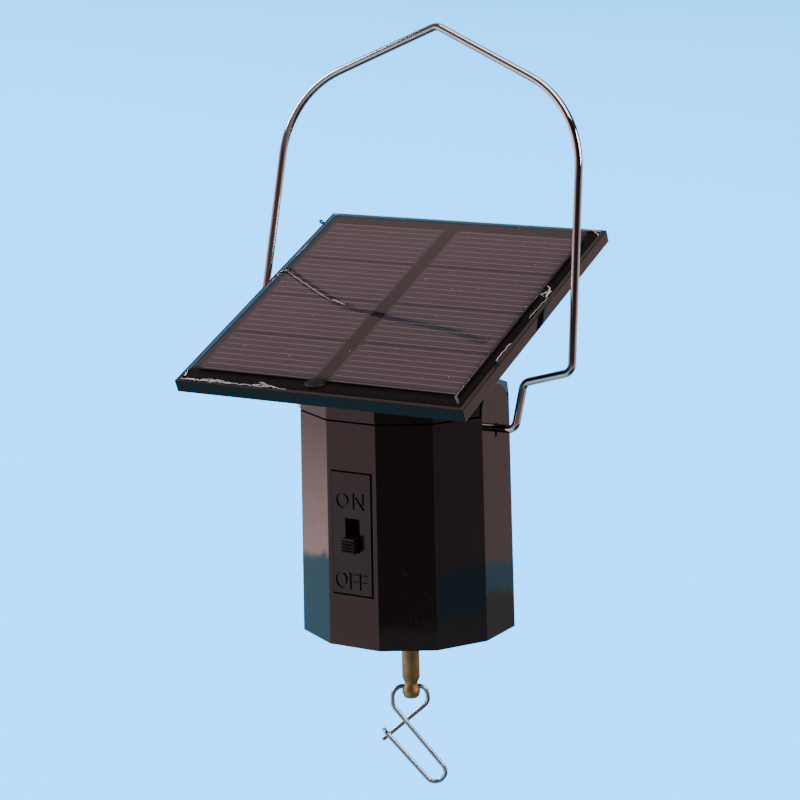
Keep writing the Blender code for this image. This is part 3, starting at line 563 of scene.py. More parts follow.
stamped_zinc = worked_metal("stamped_zinc", (0.60, 0.60, 0.58), 0.34, (1.0, 12.0, 1.0), 0.000006, 0.45)
turned_steel = worked_metal("turned_steel", (0.58, 0.58, 0.57), 0.24, (0.4, 0.4, 9.0), 0.000008, 0.25)
dress(stamped_zinc, "gearbox_bottom_plate", "gearbox_top_plate")
for count in (1, 2, 3):
    dress(turned_steel, f"gearbox_pillar_{count}", f"gearbox_screw_{count}")
dress(turned_steel, "gear_arbor_1", "gear_arbor_2")

# ---- Gears ----
# Three stages of moulded nylon gears, four to one each: two compound gears on the arbors and the
# output gear pressed on the shaft. Natural nylon is milky and slightly waxy.
nylon = moulded("gear_nylon", (0.74, 0.71, 0.63), 0.38, 0.000004, 0.2)
dress(nylon, "compound_gear_1", "compound_gear_2", "output_gear")

# ---- Motor ----
# A small flat-sided permanent magnet motor: drawn steel can, nylon end cap, two ferrite magnets, a
# laminated armature on a ground shaft, a brass pinion and two brass terminals.
ferrite_grey = moulded("ferrite_grey", (0.045, 0.044, 0.046), 0.62, 0.000003, 0.5)
drawn_can = worked_metal("drawn_can", (0.66, 0.66, 0.65), 0.28, (1.0, 1.0, 0.12), 0.000005, 0.2)
laminated = worked_metal("laminated_iron", (0.30, 0.29, 0.28), 0.42, (0.3, 0.3, 14.0), 0.00002, 0.5)
pinion_brass = worked_metal("pinion_brass", (0.62, 0.45, 0.19), 0.26, (0.5, 0.5, 8.0), 0.000005, 0.3)
dress(drawn_can, "motor_can")
dress(nylon, "motor_end_cap")
dress(ferrite_grey, "motor_magnet_left", "motor_magnet_right")
dress(laminated, "motor_armature")
dress(turned_steel, "motor_shaft")
dress(pinion_brass, "motor_pinion", "motor_terminal_left", "motor_terminal_right")

# ---- Rechargeable cell and its holder ----
# One AA cell in a shrunk green sleeve, clipped into a black holder between a plated contact plate and
# a spring. The sleeve has a plain dark band near its positive end.


def shrink_sleeve(name, colour, band, band_low, band_high):
    """Heat-shrunk printed film: two colours, tight wrinkles and a clear gloss."""
    material = bpy.data.materials.new(name)
    material.use_nodes = True
    nodes = material.node_tree.nodes
    links = material.node_tree.links
    nodes.clear()
    place = nodes.new("ShaderNodeTexCoord")
    place.label = "Place on the sleeve"
    axes = nodes.new("ShaderNodeSeparateXYZ")
    axes.label = "Height up the sleeve"
    above = nodes.new("ShaderNodeMath")
    above.label = "Above the band's foot"
    above.operation = "GREATER_THAN"
    above.inputs[1].default_value = band_low
    below = nodes.new("ShaderNodeMath")
    below.label = "Below the band's top"
    below.operation = "LESS_THAN"
    below.inputs[1].default_value = band_high
    banded = nodes.new("ShaderNodeMath")
    banded.label = "Inside the band"
    banded.operation = "MULTIPLY"
    print_tint = nodes.new("ShaderNodeMix")
    print_tint.label = "Printed colours"
    print_tint.data_type = "RGBA"
    print_tint.inputs[6].default_value = (*colour, 1.0)
    print_tint.inputs[7].default_value = (*band, 1.0)
    fade = nodes.new("ShaderNodeTexNoise")
    fade.label = "Uneven ink"
    fade.inputs["Scale"].default_value = 260.0
    fade.inputs["Detail"].default_value = 4.0
    ink = nodes.new("ShaderNodeMix")
    ink.label = "Ink over film"
    ink.data_type = "RGBA"
    ink.blend_type = "MULTIPLY"
    ink.inputs["Factor"].default_value = 0.35
    wrinkle = nodes.new("ShaderNodeTexNoise")
    wrinkle.label = "Shrink wrinkles"
    wrinkle.inputs["Scale"].default_value = 700.0
    wrinkle.inputs["Detail"].default_value = 2.0
    wrinkle.inputs["Distortion"].default_value = 1.2
    relief = nodes.new("ShaderNodeBump")
    relief.label = "Wrinkle height"
    relief.inputs["Strength"].default_value = 0.5
    relief.inputs["Distance"].default_value = 0.00002
    film = nodes.new("ShaderNodeBsdfPrincipled")
    film.label = "Sleeve film"
    film.inputs["Roughness"].default_value = 0.22
    film.inputs["Coat Weight"].default_value = 0.5
    output = nodes.new("ShaderNodeOutputMaterial")
    links.new(place.outputs["Object"], axes.inputs["Vector"])
    links.new(axes.outputs["Z"], above.inputs[0])
    links.new(axes.outputs["Z"], below.inputs[0])
    links.new(above.outputs["Value"], banded.inputs[0])
    links.new(below.outputs["Value"], banded.inputs[1])
    links.new(banded.outputs["Value"], print_tint.inputs["Factor"])
    links.new(place.outputs["Object"], fade.inputs["Vector"])
    links.new(print_tint.outputs[2], ink.inputs[6])
    links.new(fade.outputs["Color"], ink.inputs[7])
    links.new(ink.outputs[2], film.inputs["Base Color"])
    links.new(place.outputs["Object"], wrinkle.inputs["Vector"])
    links.new(wrinkle.outputs["Fac"], relief.inputs["Height"])
    links.new(relief.outputs["Normal"], film.inputs["Normal"])
    links.new(film.outputs["BSDF"], output.inputs["Surface"])
    for effect, members in (
        ("Printing", (axes, above, below, banded, print_tint, fade, ink)),
        ("Shrunk film", (wrinkle, relief)),
    ):
        group = nodes.new("NodeFrame")
        group.label = effect
        for node in members:
            node.parent = group
    order = (place, axes, above, below, banded, print_tint, fade, ink, wrinkle, relief, film, output)
    for step, node in enumerate(order):
        node.location = (230 * (step % 6), -300 * (step // 6))
    return material


cell_low, cell_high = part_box("battery_cell")
cell_green = shrink_sleeve("cell_green", (0.05, 0.42, 0.17), (0.02, 0.03, 0.03),
                           cell_high.z - 0.014, cell_high.z - 0.006)
spring_plate = plated("contact_nickel", (0.74, 0.72, 0.68), 0.16, (1.0, 1.0, 6.0))
holder_black = moulded("holder_black", (0.016, 0.015, 0.015), 0.42, 0.000005, 0.4)
dress(cell_green, "battery_cell")
dress(holder_black, "battery_holder")
dress(spring_plate, "battery_contact", "battery_spring")

# ---- Charge board and leads ----
# A small glass-fibre board beside the motor with one capacitor in a blue sleeve and one wound inductor,
# and two PVC leads from it to the motor terminals.


def circuit_board(name, mask, trace, pitch):
    """Solder mask over glass cloth, with copper tracks showing through as paler lines."""
    material = bpy.data.materials.new(name)
    material.use_nodes = True
    nodes = material.node_tree.nodes
    links = material.node_tree.links
    nodes.clear()
    place = nodes.new("ShaderNodeTexCoord")
    place.label = "Place on the board"
    tracks = nodes.new("ShaderNodeTexBrick")
    tracks.label = "Copper tracks"
    tracks.inputs["Scale"].default_value = pitch
    tracks.inputs["Mortar Size"].default_value = 0.05
    tracks.inputs["Color1"].default_value = (*mask, 1.0)
    tracks.inputs["Color2"].default_value = (mask[0] * 1.2, mask[1] * 1.15, mask[2] * 1.1, 1.0)
    tracks.inputs["Mortar"].default_value = (*trace, 1.0)
    cloth = nodes.new("ShaderNodeTexWave")
    cloth.label = "Glass cloth"
    cloth.inputs["Scale"].default_value = 900.0
    cloth.inputs["Distortion"].default_value = 1.5
    relief = nodes.new("ShaderNodeBump")
    relief.label = "Cloth under the mask"
    relief.inputs["Strength"].default_value = 0.35
    relief.inputs["Distance"].default_value = 0.000006
    flux = nodes.new("ShaderNodeTexNoise")
    flux.label = "Flux stains"
    flux.inputs["Scale"].default_value = 240.0
    flux.inputs["Detail"].default_value = 5.0
    gloss = nodes.new("ShaderNodeMapRange")
    gloss.label = "Flux is glossier"
    gloss.inputs["To Min"].default_value = 0.55
    gloss.inputs["To Max"].default_value = 0.22
    board = nodes.new("ShaderNodeBsdfPrincipled")
    board.label = "Solder mask"
    output = nodes.new("ShaderNodeOutputMaterial")
    links.new(place.outputs["Object"], tracks.inputs["Vector"])
    links.new(tracks.outputs["Color"], board.inputs["Base Color"])
    links.new(place.outputs["Object"], cloth.inputs["Vector"])
    links.new(cloth.outputs["Fac"], relief.inputs["Height"])
    links.new(relief.outputs["Normal"], board.inputs["Normal"])
    links.new(place.outputs["Object"], flux.inputs["Vector"])
    links.new(flux.outputs["Fac"], gloss.inputs["Value"])
    links.new(gloss.outputs["Result"], board.inputs["Roughness"])
    links.new(board.outputs["BSDF"], output.inputs["Surface"])
    for effect, members in (
        ("Mask and cloth", (tracks, cloth, relief)),
        ("Flux", (flux, gloss)),
    ):
        group = nodes.new("NodeFrame")
        group.label = effect
        for node in members:
            node.parent = group
    for step, node in enumerate((place, tracks, cloth, relief, flux, gloss, board, output)):
        node.location = (240 * (step % 4), -340 * (step // 4))
    return material


board_green = circuit_board("board_green", (0.016, 0.105, 0.040), (0.05, 0.20, 0.08), 520.0)
capacitor_low, capacitor_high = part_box("board_capacitor")
capacitor_blue = shrink_sleeve("capacitor_blue", (0.030, 0.050, 0.170), (0.45, 0.47, 0.50),
                               capacitor_high.z - 0.0018, capacitor_high.z - 0.0004)
lead_red = moulded("lead_red", (0.42, 0.022, 0.018), 0.42, 0.000004, 0.2)
lead_black = moulded("lead_black", (0.020, 0.019, 0.019), 0.42, 0.000004, 0.3)
dress(board_green, "charge_board")
dress(capacitor_blue, "board_capacitor")
dress(ferrite_grey, "board_inductor")
dress(lead_red, "motor_red_lead")
dress(lead_black, "motor_black_lead")

# ---- Output bush, washer and shaft ----
# A brass bush dropped into the housing floor, a thrust washer, and a turned brass shaft with a waisted
# end and a cross hole for the hook. The brass has gone olive brown.


def turned(name, outline, steps=64):
    """A mesh turned about Z from (radius, height) points."""
    shape = bmesh.new()
    corners = [shape.verts.new((radius, 0.0, height)) for radius, height in outline]
    for first, second in zip(corners, corners[1:]):
        shape.edges.new((first, second))
    bmesh.ops.spin(shape, geom=shape.verts[:] + shape.edges[:], cent=(0.0, 0.0, 0.0), axis=(0.0, 0.0, 1.0),
                   dvec=(0.0, 0.0, 0.0), angle=2 * math.pi, steps=steps, use_merge=True, use_duplicate=False)
    bmesh.ops.remove_doubles(shape, verts=shape.verts, dist=1e-7)
    bmesh.ops.recalc_face_normals(shape, faces=shape.faces)
    return mesh_of(name, shape)


bush_brass = worked_metal("bush_brass", (0.55, 0.42, 0.20), 0.32, (0.5, 0.5, 10.0), 0.000008, 0.4)
shaft_brass = worked_metal("shaft_brass", (0.82, 0.53, 0.23), 0.54, (0.45, 0.45, 5.0), 0.000022, 0.55)
dress(bush_brass, "shaft_bush")
dress(stamped_zinc, "thrust_washer")
SHAFT_OUTLINE = ((0.0, 0.0070), (0.00135, 0.0070), (0.0015, 0.00685), (0.0015, 0.0041), (0.00215, 0.0041),
                 (0.00225, 0.0040), (0.00225, -0.0150), (0.00218, -0.0154), (0.00172, -0.0164),
                 (0.00165, -0.0168), (0.00175, -0.0173), (0.00222, -0.0182), (0.00230, -0.0186),
                 (0.00230, -0.0190), (0.00222, -0.0194), (0.00195, -0.0202), (0.00160, -0.02052),
                 (0.00140, -0.0206), (0.0, -0.0206))
HOOK_Z = -0.0176
HOOK_TURN = math.radians(31.1)
hook_place = HOUSING @ Matrix.Translation((0.0, 0.0, HOOK_Z)) @ Matrix.Rotation(HOOK_TURN, 4, "Z")
shaft_mesh = turned("turned_shaft", SHAFT_OUTLINE)
shaft_mesh.transform(HOUSING)
shaft = new_piece("turned_shaft", shaft_mesh, shaft_brass, 28.0)
cross_hole = bmesh.new()
bmesh.ops.create_cone(cross_hole, cap_ends=True, segments=32, radius1=0.0007, radius2=0.0007, depth=0.01)
bmesh.ops.transform(cross_hole, matrix=hook_place @ Matrix.Rotation(math.pi / 2, 4, "Y"), verts=cross_hole.verts)
carve(shaft, cross_hole)
shaft.data.set_sharp_from_angle(angle=math.radians(28))
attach(shaft, "output")
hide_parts("output_shaft")

# ---- Snap hook ----
# One spring steel wire: an eye sprung through the shaft's cross hole, crossed legs, a long loop
# and a catch whose tip latches under the other leg. Dull grey with drawing lines.
hook_steel = plated("hook_steel", (0.82, 0.83, 0.86), 0.26, (0.6, 0.6, 0.25))
HOOK_WIRE = 0.00116
ASIDE = 0.00065
HOOK_CORNERS = (
    ((-0.0076, ASIDE, -0.0144), 0.0),
    ((0.0043, ASIDE, -0.0046), 0.0028),
    ((0.0039, 0.0, 0.0), 0.0026),
    ((-0.0048, 0.0, 0.0), 0.0028),
    ((-0.0048, -ASIDE, -0.0049), 0.0028),
    ((0.0090, -ASIDE, -0.0230), 0.0026),
    ((0.0056, 0.0, -0.0272), 0.0024),
    ((-0.0067, -ASIDE, -0.0120), 0.0007),
    ((-0.0072, 0.0016, -0.0120), 0.0),
)
hook_mesh = bent_wire("snap_hook", [(Vector(point), bend) for point, bend in HOOK_CORNERS], HOOK_WIRE)
hook_mesh.transform(hook_place)
hook = new_piece("snap_hook", hook_mesh, hook_steel)
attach(hook, "hook")
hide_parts("spring_hook")

# ---- Lid and its screws ----
# The twelve-sided cap over the cup, moulded in the same black plastic with two hinge lugs, and the two
# self-tapping cross-recess screws that hold it to the cup's posts.
lid = eased_copy("top_lid", "housing_lid", housing_black, 0.0002)
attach(lid, "housing")
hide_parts("top_lid")


def cross_recess(thing, place, reach, depth):
    """The driver's cross in a screw head whose face looks up +Z in its own place."""
    for turn in (0.0, math.pi / 2):
        around = place @ Matrix.Rotation(turn, 4, "Z")
        slot = block((-reach, -0.22 * reach, -depth), (reach, 0.22 * reach, 0.001), around)
        carve(thing, slot)


screw_zinc = worked_metal("screw_zinc", (0.62, 0.61, 0.58), 0.26, (0.5, 0.5, 7.0), 0.000006, 0.3)
LID_SCREW = [(0.0, 0.0017), (0.0009, 0.00168), (0.0017, 0.0015), (0.0022, 0.0011), (0.0023, 0.0007),
             (0.0023, 0.0003), (0.0010, 0.0003)]
for turn in range(10):
    top = -0.0004 - turn * 0.0009
    LID_SCREW.extend([(0.0010, top), (0.00078, top - 0.00045)])
LID_SCREW.append((0.0, -0.0100))
for count in (1, 2):
    low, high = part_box(f"lid_screw_{count}")
    centre = (low + high) / 2
    place = Matrix.Translation((centre.x, centre.y, high.z - 0.0017))
    mesh = turned(f"lid_screw_{count}", LID_SCREW, 40)
    mesh.transform(place)
    screw = new_piece(f"cross_head_screw_{count}", mesh, screw_zinc, 30.0)
    cross_recess(screw, place @ Matrix.Translation((0.0, 0.0, 0.0017)), 0.0012, 0.0009)
    screw.data.set_sharp_from_angle(angle=math.radians(30))
    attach(screw, "housing")
    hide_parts(f"lid_screw_{count}")

# ---- Tilt hinge screw and nut ----
# A pan-head machine screw through the four lugs with a hexagon nut, tightened so that the panel stays
# where it is tilted. Both are zinc plated.
ACROSS = Matrix.Rotation(math.pi / 2, 4, "Y")
screw_low, screw_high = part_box("hinge_screw")
HINGE_Z = 0.0704
hinge_place = HOUSING @ Matrix.Translation((0.0, 0.0, HINGE_Z))
head_face = screw_high.x
tail_face = screw_low.x
HINGE_SCREW = [(0.0, head_face), (0.0010, head_face), (0.0019, head_face - 0.0002), (0.0025, head_face - 0.0006),
               (0.00275, head_face - 0.0011), (0.00275, head_face - 0.0020), (0.0014, head_face - 0.0020)]
thread = head_face - 0.0100
while thread > tail_face + 0.0006:
    HINGE_SCREW.extend([(0.0014, thread), (0.00118, thread - 0.00025)])
    thread -= 0.0005
HINGE_SCREW.extend([(0.0012, tail_face + 0.0001), (0.0, tail_face)])
mesh = turned("pan_head_screw", HINGE_SCREW, 40)
mesh.transform(hinge_place @ ACROSS)
hinge_screw = new_piece("pan_head_screw", mesh, screw_zinc, 30.0)
cross_recess(hinge_screw, hinge_place @ ACROSS @ Matrix.Translation((0.0, 0.0, head_face)), 0.0014, 0.0010)
hinge_screw.data.set_sharp_from_angle(angle=math.radians(30))
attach(hinge_screw, "housing")
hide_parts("hinge_screw")
nut = eased_copy("hinge_nut", "hexagon_nut", stamped_zinc, 0.00018, 2)
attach(nut, "housing")
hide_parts("hinge_nut")

# ---- Solar tray ----
# A square shallow tray moulded in the housing's black plastic, with a thin raised rim all round and two
# lugs under it on the tilt screw.
TILT = math.radians(23.05)
panel_place = hinge_place @ Matrix.Rotation(TILT, 4, "X")
tray = eased_copy("solar_tray", "panel_tray", housing_black, 0.00028)
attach(tray, "panel")
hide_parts("solar_tray")

# ---- Solar board and cells ----
# Eight strips of silicon on a black board, two columns of four. Each strip has eight screen-printed
# silver fingers across it, a little slanted, ending ragged just short of its sides.


def solar_silicon(name, left, right, pitch):
    """Dark coated silicon with thin printed silver fingers, in the panel's own plane."""
    material = bpy.data.materials.new(name)
    material.use_nodes = True
    nodes = material.node_tree.nodes
    links = material.node_tree.links
    nodes.clear()
    place = nodes.new("ShaderNodeTexCoord")
    place.label = "Place on the object"
    flat = nodes.new("ShaderNodeMapping")
    flat.label = "Lay the panel flat"
    flat.inputs["Rotation"].default_value = (-TILT, 0.0, 0.0)
    flat.inputs["Location"].default_value = panel_place.inverted().translation
    axes = nodes.new("ShaderNodeSeparateXYZ")
    axes.label = "Across and up the panel"
    slant = nodes.new("ShaderNodeMath")
    slant.label = "Fingers slant"
    slant.operation = "MULTIPLY_ADD"
    slant.inputs[1].default_value = 0.006
    count = nodes.new("ShaderNodeMath")
    count.label = "Count the fingers"
    count.operation = "DIVIDE"
    count.inputs[1].default_value = pitch
    part = nodes.new("ShaderNodeMath")
    part.label = "Place between fingers"
    part.operation = "FRACT"
    middle = nodes.new("ShaderNodeMath")
    middle.label = "From the middle"
    middle.operation = "SUBTRACT"
    middle.inputs[1].default_value = 0.5
    away = nodes.new("ShaderNodeMath")
    away.label = "Distance from the finger"
    away.operation = "ABSOLUTE"
    finger = nodes.new("ShaderNodeMapRange")
    finger.label = "Finger width"
    finger.inputs["From Min"].default_value = 0.085
    finger.inputs["From Max"].default_value = 0.045
    ragged = nodes.new("ShaderNodeTexNoise")
    ragged.label = "Ragged finger ends"
    ragged.inputs["Scale"].default_value = 430.0
    ragged.inputs["Detail"].default_value = 1.0
    spill = nodes.new("ShaderNodeMath")
    spill.label = "Ends move about"
    spill.operation = "MULTIPLY_ADD"
    spill.inputs[1].default_value = 0.0018
    spill.inputs[2].default_value = -0.0009
    side = nodes.new("ShaderNodeMath")
    side.label = "Across with ragged ends"
    side.operation = "ADD"
    from_middle = nodes.new("ShaderNodeMath")
    from_middle.label = "From the strip's middle"
    from_middle.operation = "SUBTRACT"
    from_middle.inputs[1].default_value = (left + right) / 2
    half = nodes.new("ShaderNodeMath")
    half.label = "Half the way across"
    half.operation = "ABSOLUTE"
    inside = nodes.new("ShaderNodeMapRange")
    inside.label = "Stop short of the sides"
    inside.inputs["From Min"].default_value = (right - left) / 2 - 0.0007
    inside.inputs["From Max"].default_value = (right - left) / 2 - 0.0010
    printed = nodes.new("ShaderNodeMath")
    printed.label = "Silver print"
    printed.operation = "MULTIPLY"
    crystal = nodes.new("ShaderNodeTexVoronoi")
    crystal.label = "Crystal grains"
    crystal.inputs["Scale"].default_value = 260.0
    coat = nodes.new("ShaderNodeMix")
    coat.label = "Coating colour"
    coat.data_type = "RGBA"
    coat.inputs[6].default_value = (0.021, 0.0110, 0.0205, 1.0)
    coat.inputs[7].default_value = (0.026, 0.0140, 0.0255, 1.0)
    silver = nodes.new("ShaderNodeMix")
    silver.label = "Silicon and silver"
    silver.data_type = "RGBA"
    silver.inputs[7].default_value = (0.170, 0.114, 0.165, 1.0)
    raised = nodes.new("ShaderNodeBump")
    raised.label = "Printed silver stands up"
    raised.inputs["Strength"].default_value = 0.4
    raised.inputs["Distance"].default_value = 0.00002
    sheen = nodes.new("ShaderNodeMapRange")
    sheen.label = "Silver is rougher"
    sheen.inputs["To Min"].default_value = 0.36
    sheen.inputs["To Max"].default_value = 0.55
    silicon = nodes.new("ShaderNodeBsdfPrincipled")
    silicon.label = "Coated silicon"
    silicon.inputs["Specular IOR Level"].default_value = 0.25
    output = nodes.new("ShaderNodeOutputMaterial")
    links.new(place.outputs["Object"], flat.inputs["Vector"])
    links.new(flat.outputs["Vector"], axes.inputs["Vector"])
    links.new(axes.outputs["X"], slant.inputs[0])
    links.new(axes.outputs["Y"], slant.inputs[2])
    links.new(slant.outputs["Value"], count.inputs[0])
    links.new(count.outputs["Value"], part.inputs[0])
    links.new(part.outputs["Value"], middle.inputs[0])
    links.new(middle.outputs["Value"], away.inputs[0])
    links.new(away.outputs["Value"], finger.inputs["Value"])
    links.new(flat.outputs["Vector"], ragged.inputs["Vector"])
    links.new(ragged.outputs["Fac"], spill.inputs[0])
    links.new(spill.outputs["Value"], side.inputs[0])
    links.new(axes.outputs["X"], side.inputs[1])
    links.new(side.outputs["Value"], from_middle.inputs[0])
    links.new(from_middle.outputs["Value"], half.inputs[0])
    links.new(half.outputs["Value"], inside.inputs["Value"])
    links.new(finger.outputs["Result"], printed.inputs[0])
    links.new(inside.outputs["Result"], printed.inputs[1])
    links.new(flat.outputs["Vector"], crystal.inputs["Vector"])
    links.new(crystal.outputs["Color"], coat.inputs["Factor"])
    links.new(coat.outputs[2], silver.inputs[6])
    links.new(printed.outputs["Value"], silver.inputs["Factor"])
    links.new(silver.outputs[2], silicon.inputs["Base Color"])
    links.new(printed.outputs["Value"], raised.inputs["Height"])
    links.new(raised.outputs["Normal"], silicon.inputs["Normal"])
    links.new(printed.outputs["Value"], sheen.inputs["Value"])
    links.new(sheen.outputs["Result"], silicon.inputs["Roughness"])
    links.new(silicon.outputs["BSDF"], output.inputs["Surface"])
    for effect, members in (
        ("Printed fingers", (slant, count, part, middle, away, finger)),
        ("Finger ends", (ragged, spill, side, from_middle, half, inside, printed)),
        ("Silicon", (crystal, coat, silver, raised, sheen)),
    ):
        group = nodes.new("NodeFrame")
        group.label = effect
        for node in members:
            node.parent = group
    rows = ((place, flat, axes, slant, count, part, middle, away, finger),
            (ragged, spill, side, from_middle, half, inside, printed),
            (crystal, coat, silver, raised, sheen, silicon, output))
    for row, members in enumerate(rows):
        for column, node in enumerate(members):
            node.location = (220 * column, -330 * row)
    return material


ROW_PITCH = 0.0175
FINGER_PITCH = ROW_PITCH / 8
LEFT_COLUMN = (-0.03625, -0.0031)
RIGHT_COLUMN = (0.0006, 0.03625)
left_silicon = solar_silicon("left_silicon", *LEFT_COLUMN, FINGER_PITCH)
right_silicon = solar_silicon("right_silicon", *RIGHT_COLUMN, FINGER_PITCH)
for count in range(1, 9):
    dress(left_silicon if count % 2 else right_silicon, f"solar_cell_{count}")
board_black = moulded("board_black", (0.0075, 0.0058, 0.0056), 0.45, 0.000004, 0.4)
dress(board_black, "solar_board")
RIB_FOOT = 0.01196 + 0.00002
ROWS_START = -0.0349
mask_shape = block((-0.00306, ROWS_START, RIB_FOOT), (0.00056, 0.0351, 0.01248), panel_place)
mask = new_piece("board_ribs", mesh_of("board_ribs", mask_shape), board_black, 20.0)
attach(mask, "panel")
row_shape = bmesh.new()
ROW_HALF_GAP = 0.00058
ROW_RIB_TOP = 0.01247
for row in range(1, 4):
    middle = ROWS_START + row * ROW_PITCH
    for start, end in (LEFT_COLUMN, RIGHT_COLUMN):
        near, far = (start, middle - ROW_HALF_GAP, RIB_FOOT), (end, middle + ROW_HALF_GAP, ROW_RIB_TOP)
        strip_mesh = mesh_of("strip", block(near, far, panel_place))
        row_shape.from_mesh(strip_mesh)
        bpy.data.meshes.remove(strip_mesh)
row_black = moulded("row_black", (0.0175, 0.0112, 0.0185), 0.45, 0.000004, 0.3)
for black in (board_black, row_black):
    coat_node = next(node for node in black.node_tree.nodes if node.type == "BSDF_PRINCIPLED")
    coat_node.inputs["Specular IOR Level"].default_value = 0.06
rows_piece = new_piece("row_ribs", mesh_of("row_ribs", row_shape), row_black, 20.0)
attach(rows_piece, "panel")
solder_shape = bmesh.new()
bmesh.ops.create_icosphere(solder_shape, subdivisions=4, radius=1.0)
SOLDER_CENTRE = Vector((-0.0023, -0.0354, 0.01222))
SOLDER_RADII = (0.0028, 0.0017, 0.00042)
solder_place = panel_place @ Matrix.Translation(SOLDER_CENTRE) @ Matrix.Diagonal((*SOLDER_RADII, 1.0))
bmesh.ops.transform(solder_shape, matrix=solder_place, verts=solder_shape.verts)
tab_solder = worked_metal("tab_solder", (0.045, 0.045, 0.042), 0.4, (1.0, 1.0, 1.0), 0.00002, 0.6)
solder = new_piece("solder_tab", mesh_of("solder_tab", solder_shape), tab_solder)
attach(solder, "panel")

# ---- Clear epoxy ----
# Clear resin cast over the cells: slightly crowned, with its skirt falling steeply to the board all
# round. It mirrors the bail that stands over it.


def clear_resin(name):
    """Clear gloss: nothing but its own reflection, a few trapped bubbles and a soft ripple."""
    material = bpy.data.materials.new(name)
    material.use_nodes = True
    material.surface_render_method = "BLENDED"
    nodes = material.node_tree.nodes
    links = material.node_tree.links
    nodes.clear()
    place = nodes.new("ShaderNodeTexCoord")
    place.label = "Place on the resin"
    ripple = nodes.new("ShaderNodeTexNoise")
    ripple.label = "Ripple of the pour"
    ripple.inputs["Scale"].default_value = 45.0
    ripple.inputs["Detail"].default_value = 1.0
    relief = nodes.new("ShaderNodeBump")
    relief.label = "Ripple height"
    relief.inputs["Strength"].default_value = 1.0
    relief.inputs["Distance"].default_value = 0.00006
    bubble = nodes.new("ShaderNodeTexVoronoi")
    bubble.label = "Bubbles and dust"
    bubble.inputs["Scale"].default_value = 260.0
    bubble_size = nodes.new("ShaderNodeMapRange")
    bubble_size.label = "Bubble size"
    bubble_size.inputs["From Min"].default_value = 0.055
    bubble_size.inputs["From Max"].default_value = 0.03
    bubble_size.inputs["To Max"].default_value = 0.5
    mirror = nodes.new("ShaderNodeFresnel")
    mirror.label = "How much it reflects"
    mirror.inputs["IOR"].default_value = 1.5
    outer = nodes.new("ShaderNodeNewGeometry")
    outer.label = "Outer face only"
    front = nodes.new("ShaderNodeMath")
    front.label = "Front of the face"
    front.operation = "SUBTRACT"
    front.inputs[0].default_value = 1.0
    seen = nodes.new("ShaderNodeMath")
    seen.label = "Reflection and specks"
    seen.operation = "ADD"
    cover = nodes.new("ShaderNodeMath")
    cover.label = "Cover of the outer face"
    cover.operation = "MULTIPLY"
    resin = nodes.new("ShaderNodeBsdfPrincipled")
    resin.label = "Resin"
    resin.inputs["Base Color"].default_value = (1.0, 1.0, 1.0, 1.0)
    resin.inputs["Metallic"].default_value = 1.0
    resin.inputs["Roughness"].default_value = 0.03
    output = nodes.new("ShaderNodeOutputMaterial")
    links.new(place.outputs["Object"], ripple.inputs["Vector"])
    links.new(ripple.outputs["Fac"], relief.inputs["Height"])
    links.new(relief.outputs["Normal"], resin.inputs["Normal"])
    links.new(relief.outputs["Normal"], mirror.inputs["Normal"])
    links.new(place.outputs["Object"], bubble.inputs["Vector"])
    links.new(bubble.outputs["Distance"], bubble_size.inputs["Value"])
    links.new(mirror.outputs["Fac"], seen.inputs[0])
    links.new(bubble_size.outputs["Result"], seen.inputs[1])
    links.new(outer.outputs["Backfacing"], front.inputs[1])
    links.new(seen.outputs["Value"], cover.inputs[0])
    links.new(front.outputs["Value"], cover.inputs[1])
    links.new(cover.outputs["Value"], resin.inputs["Alpha"])
    links.new(resin.outputs["BSDF"], output.inputs["Surface"])
    for effect, members in (
        ("Pour", (ripple, relief)),
        ("Clearness", (mirror, bubble, bubble_size, outer, front, seen, cover)),
    ):
        group = nodes.new("NodeFrame")
        group.label = effect
        for node in members:
            node.parent = group
    order = (place, ripple, relief, bubble, bubble_size, mirror, outer, front, seen, cover, resin, output)
    for step, node in enumerate(order):
        node.location = (230 * (step % 6), -300 * (step // 6))
    return material


RESIN_HALF = 0.0383
RESIN_FOOT = 0.01281
RESIN_EDGE = 0.0014
SKIRT = 0.0036
CROWN = 0.0009
resin_shape = bmesh.new()
bmesh.ops.create_grid(resin_shape, x_segments=110, y_segments=110, size=RESIN_HALF)
for corner in resin_shape.verts:
    inward = RESIN_HALF - max(abs(corner.co.x), abs(corner.co.y))
    rise = min(inward / SKIRT, 1.0)
    level = math.sqrt(max(0.0, 1.0 - (1.0 - rise) ** 2))
    bulge = (1 - (corner.co.x / RESIN_HALF) ** 2) * (1 - (corner.co.y / RESIN_HALF) ** 2)
    corner.co.z = RESIN_FOOT + RESIN_EDGE * level + CROWN * bulge
bmesh.ops.edgeloop_fill(resin_shape, edges=[edge for edge in resin_shape.edges if edge.is_boundary])
bmesh.ops.recalc_face_normals(resin_shape, faces=resin_shape.faces)
bmesh.ops.transform(resin_shape, matrix=panel_place, verts=resin_shape.verts)
resin = new_piece("cast_resin", mesh_of("cast_resin", resin_shape), clear_resin("clear_resin"), 60.0)
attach(resin, "panel")
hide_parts("panel_epoxy")

# ---- Glue strings and moulding curl ----
# Hot glue that held the tray's cover strip has pulled into pale strings along its front rim and a few
# lumps on the right and at the far corner. One curl of moulding flash hangs on the left rim.
glue_pale = moulded("glue_pale", (0.84, 0.79, 0.78), 0.30, 0.00002, 0.0)
into_panel = panel_place.inverted()
RIM = max((into_panel @ corner.co).z for corner in tray.data.vertices)
draw = random.Random(11)


